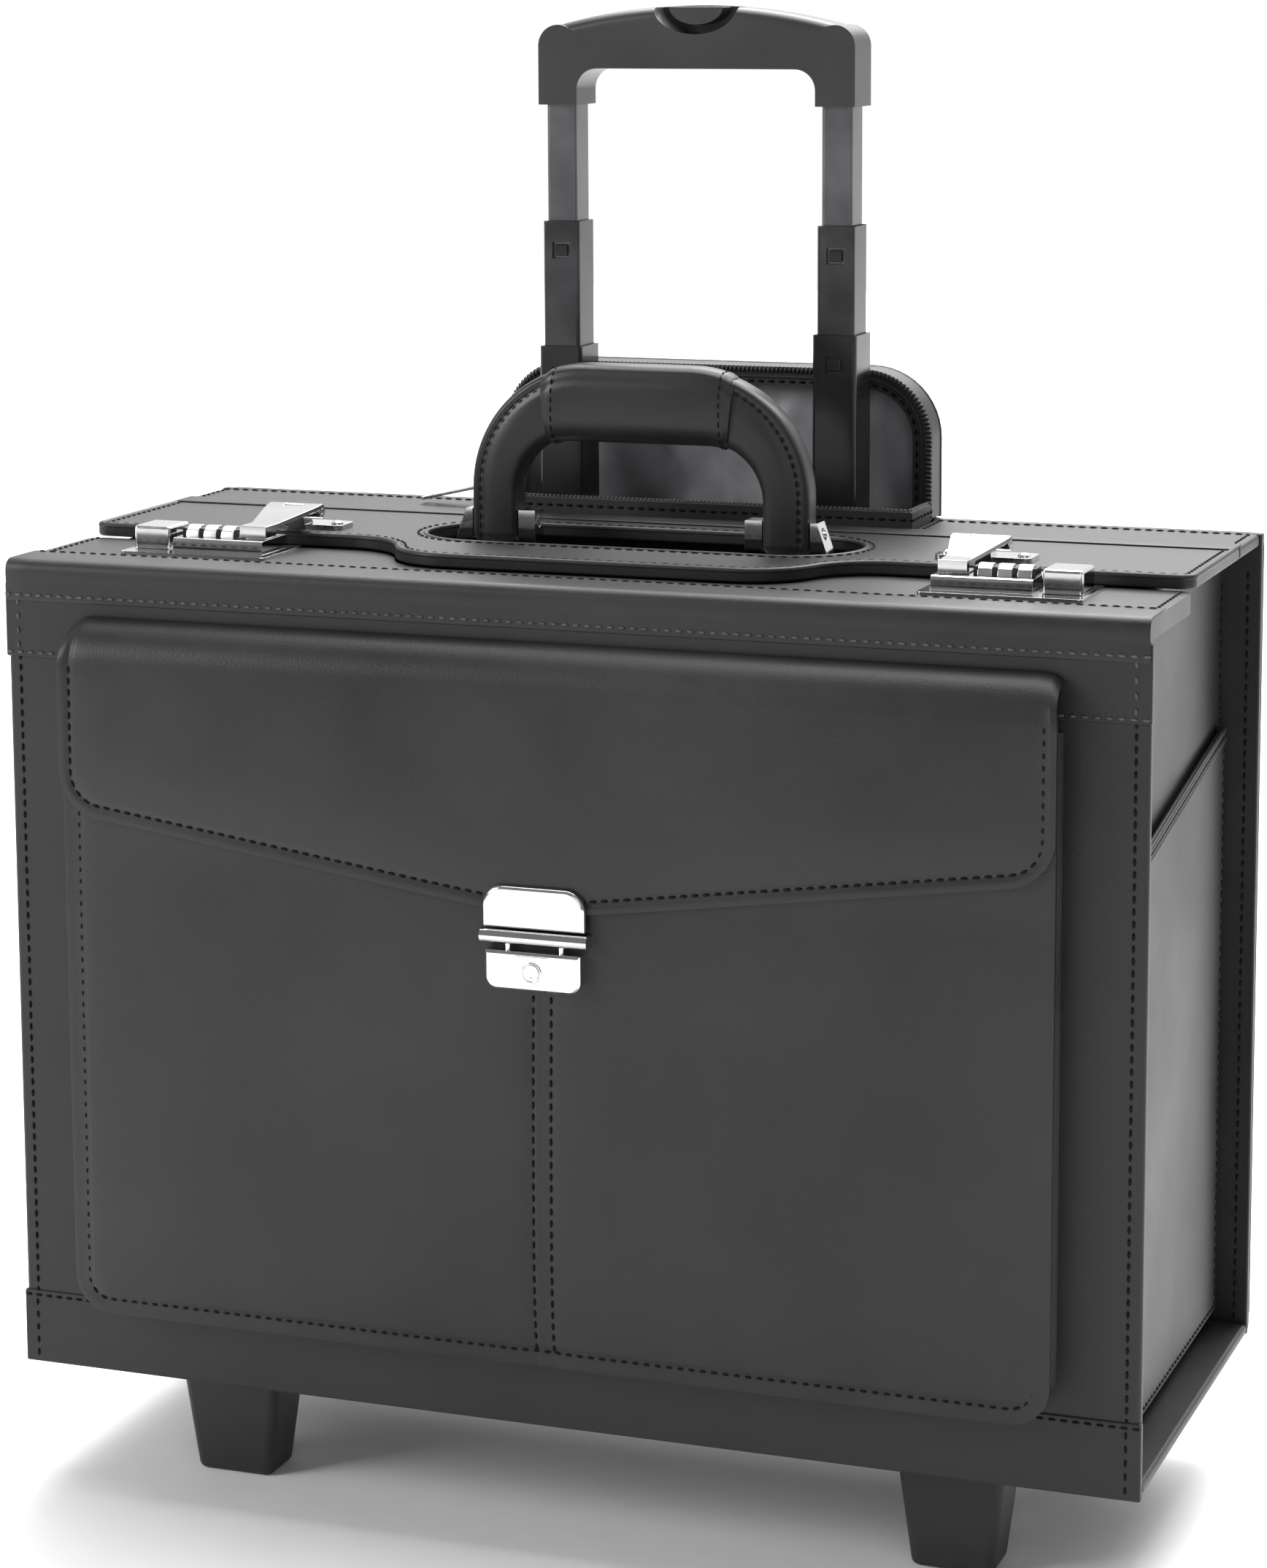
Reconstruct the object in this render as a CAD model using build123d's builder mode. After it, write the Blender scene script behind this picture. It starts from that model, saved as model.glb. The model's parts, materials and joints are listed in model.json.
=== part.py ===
"""Pilot's rolling flight case: a boarded leather case with two top lids, combination locks,
a flapped front pocket, a padded carry handle, a telescopic trolley under a zipped hood, feet and wheels.

Frame: X across the case, Y from front to back, Z up, millimetres. The origin is on the floor, under the
centre of the whole object. The trolley stands partly drawn out, and the hood is thrown up behind it.
"""
import os

from build123d import *

os.makedirs("parts", exist_ok=True)
SIDES = (("left", -1), ("right", 1))

# ---------------------------------------------------------------- driving dimensions
# Reaches run backwards from the case's front face, setbacks forwards from its back face, insets inwards
# from its side edges, and drops down from the top of the front lid.
case_width = 480.0        # across the front, bottom and back boards
case_depth = 206.0        # front face to back face
case_height = 342.0       # underside to the top of the front lid
board = 5.0               # front, bottom, back and side boards
back_chamfer = 3.5        # back board's lower rear edge
side_recess = 16.0        # side boards stand in this far from the edges of the others
edge_round = 2.0          # upright edges of the front board
fit_gap = 0.3             # between pieces that move past one another
running_gap = 0.05        # bore round a pin or a shaft

front_lid_thickness = 8.0
front_lid_edge = 4.0      # rounding along its front edge
rear_lid_thickness = 5.2
rear_lid_step = 5.5       # top of the rear lid above the top of the front lid
lid_inset = 1.0
lid_corner = 6.0
lid_gap = 1.0             # between the two lids, in plan
front_lid_depth = 74.0    # at its ends
tongue_reach = 37.0       # to the front edge of the rear lid's tongue
tongue_inset = 178.0      # to the straight part of the tongue's edge
tongue_spread = 56.0      # how far each S-curve beside the tongue runs
hinge_setback = 45.5      # the rear lid's hinge
hinge_gap = 0.4           # lid to deck, each side of the hinge line

cutout_length = 189.0     # oval opening in the rear lid, around the handle
cutout_depth = 56.0
cutout_forward = 54.0     # the rear lid's hinge to the middle of the oval

divider_thickness = 4.0
handle_forward = 54.5     # the rear lid's hinge to the handle's pivot
handle_board_depth = 36.0
handle_board_thickness = 4.0
handle_board_drop = 2.8   # rear lid's underside to the board's top
wall_setback = 43.0       # front face of the trolley wall
wall_thickness = 3.0

well_half_width = 98.0    # trolley well in the deck
well_setback = 38.5       # front of the well
rim_thickness = 3.0
rim_height = 7.5          # zipped rim above the deck

pocket_inset = 32.0
pocket_rise = 30.0        # above the underside of the case
pocket_drop = 44.0
pocket_thickness = 15.0
pocket_wall = 2.0
pocket_corner = 24.0
flap_drop = 21.0
flap_side_drop = 99.0     # lower ends of the flap's sides
flap_tip_drop = 128.0     # lowest point of the flap
flap_thickness = 2.4
flap_root = 3.4           # height of the flap where it is sewn to the front board
flap_overhang = 0.5       # beyond each side of the pocket
flap_room = 2.0           # above the pocket's mouth
flap_corner = 14.0

side_pocket_gap = 1.5
side_pocket_thickness = 2.0
side_pocket_hem = 5.0
side_pocket_margin = 7.0
side_pocket_front_drop = 105.0
side_pocket_rear_drop = 75.0

lock_reach = 33.0         # to the lock plate
lock_inset = 68.0         # to the middle of the lock plate
lock_length = 66.0
lock_depth = 38.0
lock_plate_thickness = 1.2
lock_plate_corner = 2.0
lock_body_depth = 24.0
lock_body_height = 5.6
lock_body_round = 1.5
dial_count = 3
dial_radius = 4.8
dial_width = 5.8
dial_pitch = 8.0
dial_first = 26.5         # outboard end of the plate to the first dial
dial_lift = 0.4           # dial above the plate
dial_flats = 10
small_pin_radius = 1.0    # pins of the dials and of the hasps
button_travel = 2.5
button_start = 2.0
button_length = 16.5
button_depth = 19.0
button_height = 9.5
button_corner = 1.5
button_round = 1.3
button_slide_gap = 0.1    # button above the plate
keeper_start = 48.0
keeper_length = 14.0

hasp_reach = 89.0         # to the hasp's pivot
hasp_height = 8.0         # pivot above the rear lid
hasp_knuckle_radius = 3.0
hasp_knuckle_width = 24.0
hasp_base_knuckle = 8.0   # the middle knuckle, which belongs to the base
hasp_nose_width = 12.0
hasp_nose_length = 12.0
hasp_nose_height = 5.0
hasp_thickness = 2.0
hasp_base_width = 40.0
hasp_base_depth = 16.0
hasp_base_thickness = 2.0
hasp_base_corner = 3.0

handle_pivot_rise = 5.5   # pivot above the rear lid's top
handle_half_width = 74.0
handle_leg_width = 20.0
handle_rise = 66.0        # pivot to the top of the arch
handle_band = 33.0        # height of the arch's top
handle_thickness = 14.0
handle_grip_half_length = 42.0
handle_grip_thickness = 22.0
handle_grip_wrap = 1.6
handle_foot = 8.0         # leg below the pivot
handle_outer_corner = 52.0
handle_inner_corner = 24.0
handle_pin_radius = 2.5
bracket_ear_outer = 3.0
bracket_ear_inner = 7.5
bracket_depth = 10.0
bracket_splay = 6.0
bracket_base = 1.4
bracket_base_depth = 20.0

trolley_setback = 23.0    # middle of the tubes
tube_centre = 62.0        # middle of the case to the middle of each tube
inner_tube_width = 13.5
inner_tube_depth = 16.0
tube_wall = 1.2
tube_step = 3.0           # each stage is this much wider and deeper than the one inside it
fixed_tube_drop = 24.0
stage_lip = 3.0           # pushed in, each stage still stands this far out of the one outside it
lower_out = 99.0          # how far each stage is drawn out here
middle_out = 43.0
upper_out = 47.0
right_tube_lead = 8.0     # the right lower tube stands this much further out
window_width = 8.0
window_height = 7.0
window_drop = 9.0         # top of a tube to the top of its window

grip_half_width = 71.0
grip_depth = 23.0
grip_height = 34.0        # foot to the top at the ends
grip_crown = 8.0
grip_shoulder = 9.0
grip_edge = 5.0
grip_arm_width = 17.5
grip_bar_bottom = 15.5    # foot to the underside of the bar
grip_socket = 12.0        # how far a tube runs into the grip
scoop_half_width = 18.7   # scooped recess for the release button, in the top of the grip
scoop_drop = 12.0
scoop_depth = 14.0
release_half_width = 12.0
release_drop = 7.5
release_inset = 2.0       # button face behind the grip's face
release_lip = 0.5         # crown of the grip to the top of the button

hood_half_width = 98.0
hood_height = 64.0
hood_depth = 15.0
hood_wall = 2.0
hood_corner = 30.0
hood_overhang = 6.0       # hood's back behind the case's back face
hood_lining_thickness = 0.8
hem_height = 12.0

zip_slider_setback = 23.0
zip_slider_length = 9.0
zip_slider_height = 3.0
zip_pull_length = 30.0
zip_pull_width = 8.0
zip_pull_thickness = 1.6
zip_corner = 2.0
zip_pull_droop = 13.0     # degrees below level, so that the pull's end lies near the deck

wheel_radius = 22.0
wheel_width = 20.0
wheel_setback = 20.0
wheel_inset = 65.0
wheel_clearance = 2.0     # tyre to the housing's roof
tyre_thickness = 5.0
axle_radius = 3.0
cheek_thickness = 3.0
cheek_gap = 1.5           # wheel to cheek
cheek_round = 10.0
housing_roof = 4.0
housing_depth = 44.0

foot_reach = 39.0
foot_inset = 82.0
foot_top_width = 46.0
foot_sole_width = 34.0
foot_top_depth = 32.0
foot_sole_depth = 24.0
foot_corner = 4.0

pocket_lock_height = 15.5  # lower body
pocket_lock_width = 40.0
pocket_lock_depth = 7.0
pocket_lock_round = 5.0
pocket_lock_chamfer = 1.0
lock_bar_radius = 3.0
lock_bar_length = 45.0
lock_bar_travel = 2.0
bar_stem_radius = 1.2
bar_stem_spread = 22.5     # between the bar's two stems
bar_stem_depth = 7.7       # stems inside the lower body
flap_plate_width = 43.0
flap_plate_height = 17.0
flap_plate_proud = 3.0
flap_plate_overhang = 4.0  # below the flap's tip
key_radius = 3.2
key_depth = 5.0
key_proud = 1.0
key_slot = 0.9
key_slot_length = 3.8
key_slot_depth = 2.5

# ---------------------------------------------------------------- places worked out from them
front_reach = pocket_thickness + pocket_lock_depth + key_proud
front_y = (front_reach - case_depth - hood_overhang) / 2
back_y = front_y + case_depth
foot_height = 2 * wheel_radius + wheel_clearance + housing_roof
bottom_z = foot_height
lid_top = bottom_z + case_height
lid_under = lid_top - front_lid_thickness
rear_lid_top = lid_top + rear_lid_step
rear_lid_under = rear_lid_top - rear_lid_thickness
deck_top = rear_lid_top
deck_under = rear_lid_under - fit_gap
half_width = case_width / 2
side_x = half_width - side_recess          # outer face of the side boards
side_in = side_x - board                   # inner face of the side boards
lid_half = half_width - lid_inset
tongue_half = half_width - tongue_inset
hinge_y = back_y - hinge_setback
handle_y = hinge_y - handle_forward
handle_z = rear_lid_top + handle_pivot_rise
handle_board_top = rear_lid_under - handle_board_drop
trolley_y = back_y - trolley_setback
pocket_half = half_width - pocket_inset
pocket_face = front_y - pocket_thickness
flap_half = pocket_half + flap_overhang
flap_face = pocket_face - fit_gap - flap_thickness
hasp_y = front_y + hasp_reach
hasp_z = rear_lid_top + hasp_height
wheel_x = half_width - wheel_inset
wheel_y = back_y - wheel_setback
foot_x = half_width - foot_inset


def save(part, label):
    """Names a finished piece and writes it."""
    part.label = label
    export_step(part, f"parts/{label}.step")


# ---------------------------------------------------------------- boards of the case
with BuildPart() as front_panel:
    with BuildSketch(Plane.XZ.offset(-front_y - board)):
        with Locations((0, (bottom_z + lid_under - hinge_gap) / 2)):
            Rectangle(case_width, lid_under - hinge_gap - bottom_z)
    extrude(amount=board)
    fillet(front_panel.edges().filter_by(Axis.Z).group_by(Axis.Y)[0], edge_round)
save(front_panel.part, "front_panel")

with BuildPart() as bottom_panel:
    with BuildSketch(Plane.XY.offset(bottom_z)):
        with Locations((0, (front_y + back_y) / 2)):
            Rectangle(case_width, case_depth - 2 * board)
    extrude(amount=board)
save(bottom_panel.part, "bottom_panel")

with BuildPart() as back_panel:
    with BuildSketch(Plane.XZ.offset(-back_y)):
        with Locations((0, (bottom_z + deck_top) / 2)):
            Rectangle(case_width, deck_top - bottom_z)
    extrude(amount=board)
    chamfer(back_panel.edges().filter_by(Axis.X).group_by(Axis.Z)[0].sort_by(Axis.Y)[-1], back_chamfer)
save(back_panel.part, "back_panel")


def side_panel(side):
    """A side board: low under the front lid, full height under the rear lid and the deck."""
    step_y = front_y + front_lid_depth + lid_gap
    with BuildPart() as panel:
        with BuildSketch(Plane.YZ.offset(min(side * side_x, side * side_in))):
            with BuildLine():
                Polyline(
                    (front_y + board, bottom_z + board),
                    (front_y + board, lid_under - hinge_gap),
                    (step_y, lid_under - hinge_gap),
                    (step_y, deck_under),
                    (back_y - board, deck_under),
                    (back_y - board, bottom_z + board),
                    close=True,
                )
            make_face()
        extrude(amount=board)
    return panel.part


def side_pocket(side):
    """A slip pocket on a side board, open along its slanted top edge."""
    front = front_y + board + side_pocket_margin
    rear = back_y - board - side_pocket_margin
    low = bottom_z + board + side_pocket_margin
    front_top = lid_top - side_pocket_front_drop
    rear_top = lid_top - side_pocket_rear_drop
    face = min(side * side_x, side * (side_x + side_pocket_gap + side_pocket_thickness))
    hollow = face if side < 0 else side_x
    with BuildPart() as pocket:
        with BuildSketch(Plane.YZ.offset(face)):
            with BuildLine():
                Polyline((front, low), (rear, low), (rear, rear_top), (front, front_top), close=True)
            make_face()
        extrude(amount=side_pocket_gap + side_pocket_thickness)
        inner = side_pocket_thickness if side < 0 else 0
        with BuildSketch(Plane.YZ.offset(hollow + inner)):
            with BuildLine():
                Polyline(
                    (front + side_pocket_hem, low + side_pocket_hem),
                    (rear - side_pocket_hem, low + side_pocket_hem),
                    (rear - side_pocket_hem, rear_top + side_pocket_hem),
                    (front + side_pocket_hem, front_top + side_pocket_hem),
                    close=True,
                )
            make_face()
        extrude(amount=side_pocket_gap, mode=Mode.SUBTRACT)
    return pocket.part


for name, side in SIDES:
    save(side_panel(side), f"{name}_side_panel")
    save(side_pocket(side), f"{name}_side_pocket")

with BuildPart() as centre_divider:
    divider_height = handle_board_top - handle_board_thickness - bottom_z - board
    with BuildSketch(Plane.XY.offset(bottom_z + board)):
        with Locations((0, handle_y)):
            Rectangle(2 * side_in, divider_thickness)
    extrude(amount=divider_height)
save(centre_divider.part, "centre_divider")

with BuildPart() as handle_board:
    with BuildSketch(Plane.XY.offset(handle_board_top - handle_board_thickness)):
        with Locations((0, handle_y)):
            Rectangle(2 * side_in, handle_board_depth)
    extrude(amount=handle_board_thickness)
save(handle_board.part, "handle_board")

with BuildPart() as trolley_wall:
    with BuildSketch(Plane.XY.offset(bottom_z + board)):
        with Locations((0, back_y - wall_setback + wall_thickness / 2)):
            Rectangle(2 * side_in, wall_thickness)
    extrude(amount=deck_under - bottom_z - board)
save(trolley_wall.part, "trolley_wall")

with BuildPart() as rear_deck:
    deck_front = hinge_y + hinge_gap
    deck_back = back_y - board
    with BuildSketch(Plane.XY.offset(deck_under)):
        with Locations((0, (deck_front + deck_back) / 2)):
            Rectangle(2 * lid_half, deck_back - deck_front)
        with Locations((0, back_y)):
            Rectangle(2 * well_half_width, 2 * well_setback, mode=Mode.SUBTRACT)
    extrude(amount=deck_top - deck_under)
save(rear_deck.part, "rear_deck")

with BuildPart() as zip_rim:
    rim_front = back_y - well_setback
    rim_back = back_y + hood_overhang - hood_depth - 2 * fit_gap
    with BuildSketch(Plane.XY.offset(deck_under)):
        with Locations((0, (rim_front + rim_back) / 2)):
            Rectangle(2 * well_half_width, rim_back - rim_front)
        with Locations((0, back_y)):
            inner_depth = 2 * (well_setback - rim_thickness)
            Rectangle(2 * (well_half_width - rim_thickness), inner_depth, mode=Mode.SUBTRACT)
    extrude(amount=deck_top + rim_height - deck_under)
save(zip_rim.part, "zip_rim")


# ---------------------------------------------------------------- lids
def tongue_edge(shift):
    """Half of the curved edge between the lids, from the middle outwards, moved back by shift."""
    near = front_y + tongue_reach + shift
    far = front_y + front_lid_depth + lid_gap + shift
    start = (tongue_half, near)
    end = (tongue_half + tongue_spread, far)
    middle = (tongue_half + tongue_spread / 2, (near + far) / 2)
    line = Line((0, near), start)
    bend = TangentArc(start, middle, tangent=(1, 0))
    return line, bend, TangentArc(middle, end, tangent=bend % 1)


with BuildPart() as front_lid:
    with BuildSketch(Plane.XY.offset(lid_under)):
        with BuildLine():
            tongue_edge(-lid_gap)
            Polyline(
                (tongue_half + tongue_spread, front_y + front_lid_depth),
                (lid_half, front_y + front_lid_depth),
                (lid_half, front_y),
                (0, front_y),
            )
            Line((0, front_y), (0, front_y + tongue_reach - lid_gap))
        make_face()
        mirror(about=Plane.YZ)
    extrude(amount=front_lid_thickness)
    fillet(front_lid.edges().filter_by(Axis.X).group_by(Axis.Y)[0].sort_by(Axis.Z)[-1], front_lid_edge)
    fillet(front_lid.edges().filter_by(Axis.Z).group_by(Axis.Y)[-1], lid_corner)
save(front_lid.part, "front_lid")

with BuildPart() as rear_lid:
    with BuildSketch(Plane.XY.offset(rear_lid_under)):
        with BuildLine():
            tongue_edge(0)
            Polyline(
                (tongue_half + tongue_spread, front_y + front_lid_depth + lid_gap),
                (lid_half, front_y + front_lid_depth + lid_gap),
                (lid_half, hinge_y - hinge_gap),
                (0, hinge_y - hinge_gap),
            )
            Line((0, hinge_y - hinge_gap), (0, front_y + tongue_reach))
        make_face()
        mirror(about=Plane.YZ)
        with Locations((0, hinge_y - cutout_forward)):
            SlotOverall(cutout_length, cutout_depth, mode=Mode.SUBTRACT)
    extrude(amount=rear_lid_thickness)
    fillet(rear_lid.edges().filter_by(Axis.Z).group_by(Axis.X)[0].sort_by(Axis.Y)[0], lid_corner)
    fillet(rear_lid.edges().filter_by(Axis.Z).group_by(Axis.X)[-1].sort_by(Axis.Y)[0], lid_corner)
save(rear_lid.part, "rear_lid")


# ---------------------------------------------------------------- combination locks on the front lid
def along_lock(side, distance):
    """X of a place on a lock plate, measured inwards from its outboard end."""
    return side * (half_width - lock_inset + lock_length / 2 - distance)


lock_y = front_y + lock_reach + lock_depth / 2
plate_top = lid_top + lock_plate_thickness
dial_z = plate_top + dial_lift + dial_radius
dial_places = [dial_first + dial_pitch * i for i in range(dial_count)]


def lock_housing(side):
    """Base plate, a low body slotted for the dials, their pin, and a keeper block for the hasp."""
    body_start = button_start + button_length + fit_gap + button_travel
    with BuildPart() as lock:
        with BuildSketch(Plane.XY.offset(lid_top)):
            with Locations((along_lock(side, lock_length / 2), lock_y)):
                RectangleRounded(lock_length, lock_depth, lock_plate_corner)
        extrude(amount=lock_plate_thickness)
        with BuildSketch(Plane.XY.offset(plate_top)):
            body_end = keeper_start + keeper_length
            with Locations((along_lock(side, (body_start + body_end) / 2), lock_y)):
                Rectangle(body_end - body_start, lock_body_depth)
        extrude(amount=lock_body_height)
        fillet(lock.edges().filter_by(Axis.X).group_by(Axis.Z)[-1], lock_body_round)
        with BuildSketch(Plane.XY.offset(plate_top)):
            for place in dial_places:
                with Locations((along_lock(side, place), lock_y)):
                    Rectangle(dial_width + 2 * fit_gap, 2 * (dial_radius + fit_gap))
        extrude(amount=lock_body_height, mode=Mode.SUBTRACT)
        pin_start = dial_places[0] - dial_pitch / 2
        pin_length = dial_count * dial_pitch
        pin_low = min(along_lock(side, pin_start), along_lock(side, pin_start + pin_length))
        with BuildSketch(Plane.YZ.offset(pin_low)):
            with Locations((lock_y, dial_z)):
                Circle(small_pin_radius)
        extrude(amount=pin_length)
    return lock.part


def lock_dial(side, place):
    """A number wheel with ten flats, turning on the lock's pin."""
    with BuildPart() as dial:
        with BuildSketch(Plane.YZ.offset(along_lock(side, place) - dial_width / 2)):
            with Locations((lock_y, dial_z)):
                RegularPolygon(dial_radius, dial_flats)
                Circle(small_pin_radius + running_gap, mode=Mode.SUBTRACT)
        extrude(amount=dial_width)
    return dial.part


def lock_button(side):
    """The outboard thumb button, which slides outwards to release the hasp."""
    with BuildPart() as button:
        with BuildSketch(Plane.XY.offset(plate_top + button_slide_gap)):
            with Locations((along_lock(side, button_start + button_length / 2), lock_y)):
                RectangleRounded(button_length, button_depth, button_corner)
        extrude(amount=button_height)
        fillet(button.faces().sort_by(Axis.Z)[-1].edges(), button_round)
    return button.part


for name, side in SIDES:
    save(lock_housing(side), f"{name}_lock_housing")
    save(lock_button(side), f"{name}_lock_button")
    for number, place in enumerate(dial_places, start=1):
        save(lock_dial(side, place), f"{name}_dial_{number}")

# ---------------------------------------------------------------- hasps on the rear lid
hasp_place = keeper_start + keeper_length / 2


def hasp_base(side):
    """Plate on the rear lid, with the middle knuckle and the hasp's pin."""
    centre = along_lock(side, hasp_place)
    with BuildPart() as base:
        with BuildSketch(Plane.XY.offset(rear_lid_top)):
            with Locations((centre, hasp_y + hasp_base_depth / 2)):
                RectangleRounded(hasp_base_width, hasp_base_depth, hasp_base_corner)
        extrude(amount=hasp_base_thickness)
        with BuildSketch(Plane.YZ.offset(centre - hasp_base_knuckle / 2)):
            with BuildLine():
                Polyline(
                    (hasp_y - hasp_knuckle_radius, hasp_z),
                    (hasp_y + hasp_knuckle_radius, hasp_z),
                    (hasp_y + hasp_base_depth / 2, rear_lid_top + hasp_base_thickness),
                    (hasp_y + hasp_base_depth / 2, rear_lid_top),
                    (hasp_y, rear_lid_top),
                    close=True,
                )
            make_face()
            with Locations((hasp_y, hasp_z)):
                Circle(hasp_knuckle_radius)
        extrude(amount=hasp_base_knuckle)
        with BuildSketch(Plane.YZ.offset(centre - hasp_knuckle_width / 2)):
            with Locations((hasp_y, hasp_z)):
                Circle(small_pin_radius)
        extrude(amount=hasp_knuckle_width)
    return base.part


def hasp(side):
    """Swinging arm: two knuckles on the pin, a tapering strap and a nose over the lock's keeper."""
    centre = along_lock(side, hasp_place)
    nose_front = lock_y - hasp_nose_length / 2
    nose_rear = lock_y + hasp_nose_length / 2
    nose_low = plate_top + lock_body_height + fit_gap
    nose_top = nose_low + hasp_nose_height
    strap_top = hasp_z + hasp_knuckle_radius
    broad = hasp_knuckle_width / 2
    narrow = hasp_nose_width / 2
    barrel_front = hasp_y - hasp_knuckle_radius - 2 * fit_gap
    barrel_rear = hasp_y + hasp_knuckle_radius + 2 * fit_gap
    with BuildPart() as arm:
        with BuildSketch(Plane.YZ.offset(centre - broad)):
            with BuildLine():
                Polyline(
                    (hasp_y, strap_top),
                    (nose_rear, nose_top),
                    (nose_front, nose_top),
                    (nose_front, nose_low),
                    (nose_rear - hasp_thickness, nose_low),
                    (nose_rear, nose_top - hasp_thickness),
                    (hasp_y, strap_top - hasp_thickness),
                    close=True,
                )
            make_face()
            with Locations((hasp_y, hasp_z)):
                Circle(hasp_knuckle_radius)
        extrude(amount=2 * broad)
        with BuildSketch(Plane.XY.offset(plate_top)):
            with BuildLine():
                Polyline(
                    (centre - broad, barrel_rear), (centre + broad, barrel_rear),
                    (centre + broad, barrel_front), (centre + narrow, nose_rear),
                    (centre + narrow, nose_front), (centre - narrow, nose_front),
                    (centre - narrow, nose_rear), (centre - broad, barrel_front),
                    close=True,
                )
            make_face()
        extrude(amount=strap_top - plate_top, mode=Mode.INTERSECT)
        with BuildSketch(Plane.XY.offset(plate_top)):
            with Locations((centre, hasp_y)):
                Rectangle(hasp_base_knuckle + 2 * fit_gap, barrel_rear - barrel_front)
        extrude(amount=strap_top - plate_top, mode=Mode.SUBTRACT)
        with BuildSketch(Plane.YZ.offset(centre - broad)):
            with Locations((hasp_y, hasp_z)):
                Circle(small_pin_radius + running_gap)
        extrude(amount=2 * broad, mode=Mode.SUBTRACT)
    return arm.part


for name, side in SIDES:
    save(hasp_base(side), f"{name}_hasp_base")
    save(hasp(side), f"{name}_hasp")

# ---------------------------------------------------------------- carry handle
leg_in = handle_half_width - handle_leg_width
handle_top = handle_z + handle_rise
ear_in = leg_in - fit_gap - bracket_ear_inner          # nearest the middle of the case
ear_out = handle_half_width + fit_gap + bracket_ear_outer


def arch(half, low, top, corner):
    """Outline of an arch with round shoulders, in the XZ plane."""
    Polyline((-half, top - corner), (-half, low), (half, low), (half, top - corner))
    CenterArc((half - corner, top - corner), corner, 0, 90)
    Line((half - corner, top), (corner - half, top))
    CenterArc((corner - half, top - corner), corner, 90, 90)


with BuildPart() as handle_arch:
    with BuildSketch(Plane.XZ.offset(-handle_y - handle_thickness / 2)):
        with BuildLine():
            arch(handle_half_width, handle_z - handle_foot, handle_top, handle_outer_corner)
        make_face()
        with BuildLine():
            arch(leg_in, handle_z - 2 * handle_foot, handle_top - handle_band, handle_inner_corner)
        make_face(mode=Mode.SUBTRACT)
    extrude(amount=handle_thickness)
    with BuildSketch(Plane.YZ.offset(-handle_half_width)):
        with Locations((handle_y, handle_z)):
            Circle(handle_pin_radius + running_gap)
    extrude(amount=2 * handle_half_width, mode=Mode.SUBTRACT)
save(handle_arch.part, "handle_arch")

with BuildPart() as handle_grip:
    wrap = handle_grip_wrap
    with BuildSketch(Plane.XZ.offset(-handle_y - handle_grip_thickness / 2)):
        with BuildLine():
            arch(handle_half_width + wrap, handle_z, handle_top + wrap, handle_outer_corner + wrap)
        make_face()
        with BuildLine():
            opening_top = handle_top - handle_band - wrap
            arch(leg_in - wrap, handle_z - handle_foot, opening_top, handle_inner_corner - wrap)
        make_face(mode=Mode.SUBTRACT)
        grip_bottom = handle_z + bracket_depth         # clear of the brackets for any handle
        with Locations((0, grip_bottom + handle_rise)):
            Rectangle(2 * handle_grip_half_length, 2 * handle_rise, mode=Mode.INTERSECT)
    extrude(amount=handle_grip_thickness)
    add(handle_arch.part, mode=Mode.SUBTRACT)
save(handle_grip.part, "handle_grip")

with BuildPart() as handle_pins:
    for name, side in SIDES:
        pin_length = ear_out - ear_in
        with BuildSketch(Plane.YZ.offset(side * (ear_in + pin_length / 2) - pin_length / 2)):
            with Locations((handle_y, handle_z)):
                Circle(handle_pin_radius)
        extrude(amount=pin_length)
save(handle_pins.part, "handle_pins")

with BuildPart() as handle_brackets:
    for name, side in SIDES:
        base_low = ear_in - fit_gap
        base_length = ear_out + bracket_splay - base_low
        ear_top = handle_z + bracket_depth / 2
        with BuildSketch(Plane.XY.offset(handle_board_top)):
            with Locations((side * (base_low + base_length / 2), handle_y)):
                Rectangle(base_length, bracket_base_depth)
        extrude(amount=bracket_base)
        with BuildSketch(Plane.XZ.offset(-handle_y - bracket_depth / 2)):
            with BuildLine():
                Polyline(
                    (side * (handle_half_width + fit_gap), handle_board_top),
                    (side * (handle_half_width + fit_gap), ear_top),
                    (side * ear_out, ear_top),
                    (side * (ear_out + bracket_splay), handle_board_top + bracket_base),
                    (side * (ear_out + bracket_splay), handle_board_top),
                    close=True,
                )
            make_face()
            with Locations((side * (ear_in + bracket_ear_inner / 2), (handle_board_top + ear_top) / 2)):
                Rectangle(bracket_ear_inner, ear_top - handle_board_top)
        extrude(amount=bracket_depth)
    with BuildSketch(Plane.YZ.offset(-half_width)):
        with Locations((handle_y, handle_z)):
            Circle(handle_pin_radius + running_gap)
    extrude(amount=case_width, mode=Mode.SUBTRACT)
save(handle_brackets.part, "handle_brackets")

# ---------------------------------------------------------------- front pocket, its flap and its lock
pocket_low = bottom_z + pocket_rise
pocket_high = lid_top - pocket_drop
pocket_height = pocket_high - pocket_low
with BuildPart() as front_pocket:
    with BuildSketch(Plane.XZ.offset(-front_y)):
        with Locations((0, pocket_low + pocket_height / 2)):
            Rectangle(2 * pocket_half, pocket_height)
    extrude(amount=pocket_thickness)
    fillet(front_pocket.edges().filter_by(Axis.Y).group_by(Axis.Z)[0], pocket_corner)
    with BuildSketch(Plane.XZ.offset(-front_y)):
        with Locations((0, pocket_low + pocket_wall + pocket_height / 2)):
            Rectangle(2 * (pocket_half - pocket_wall), pocket_height)
        fillet(vertices().group_by(Axis.Y)[0], pocket_corner - pocket_wall)
    extrude(amount=pocket_thickness - pocket_wall, mode=Mode.SUBTRACT)
save(front_pocket.part, "front_pocket")

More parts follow.
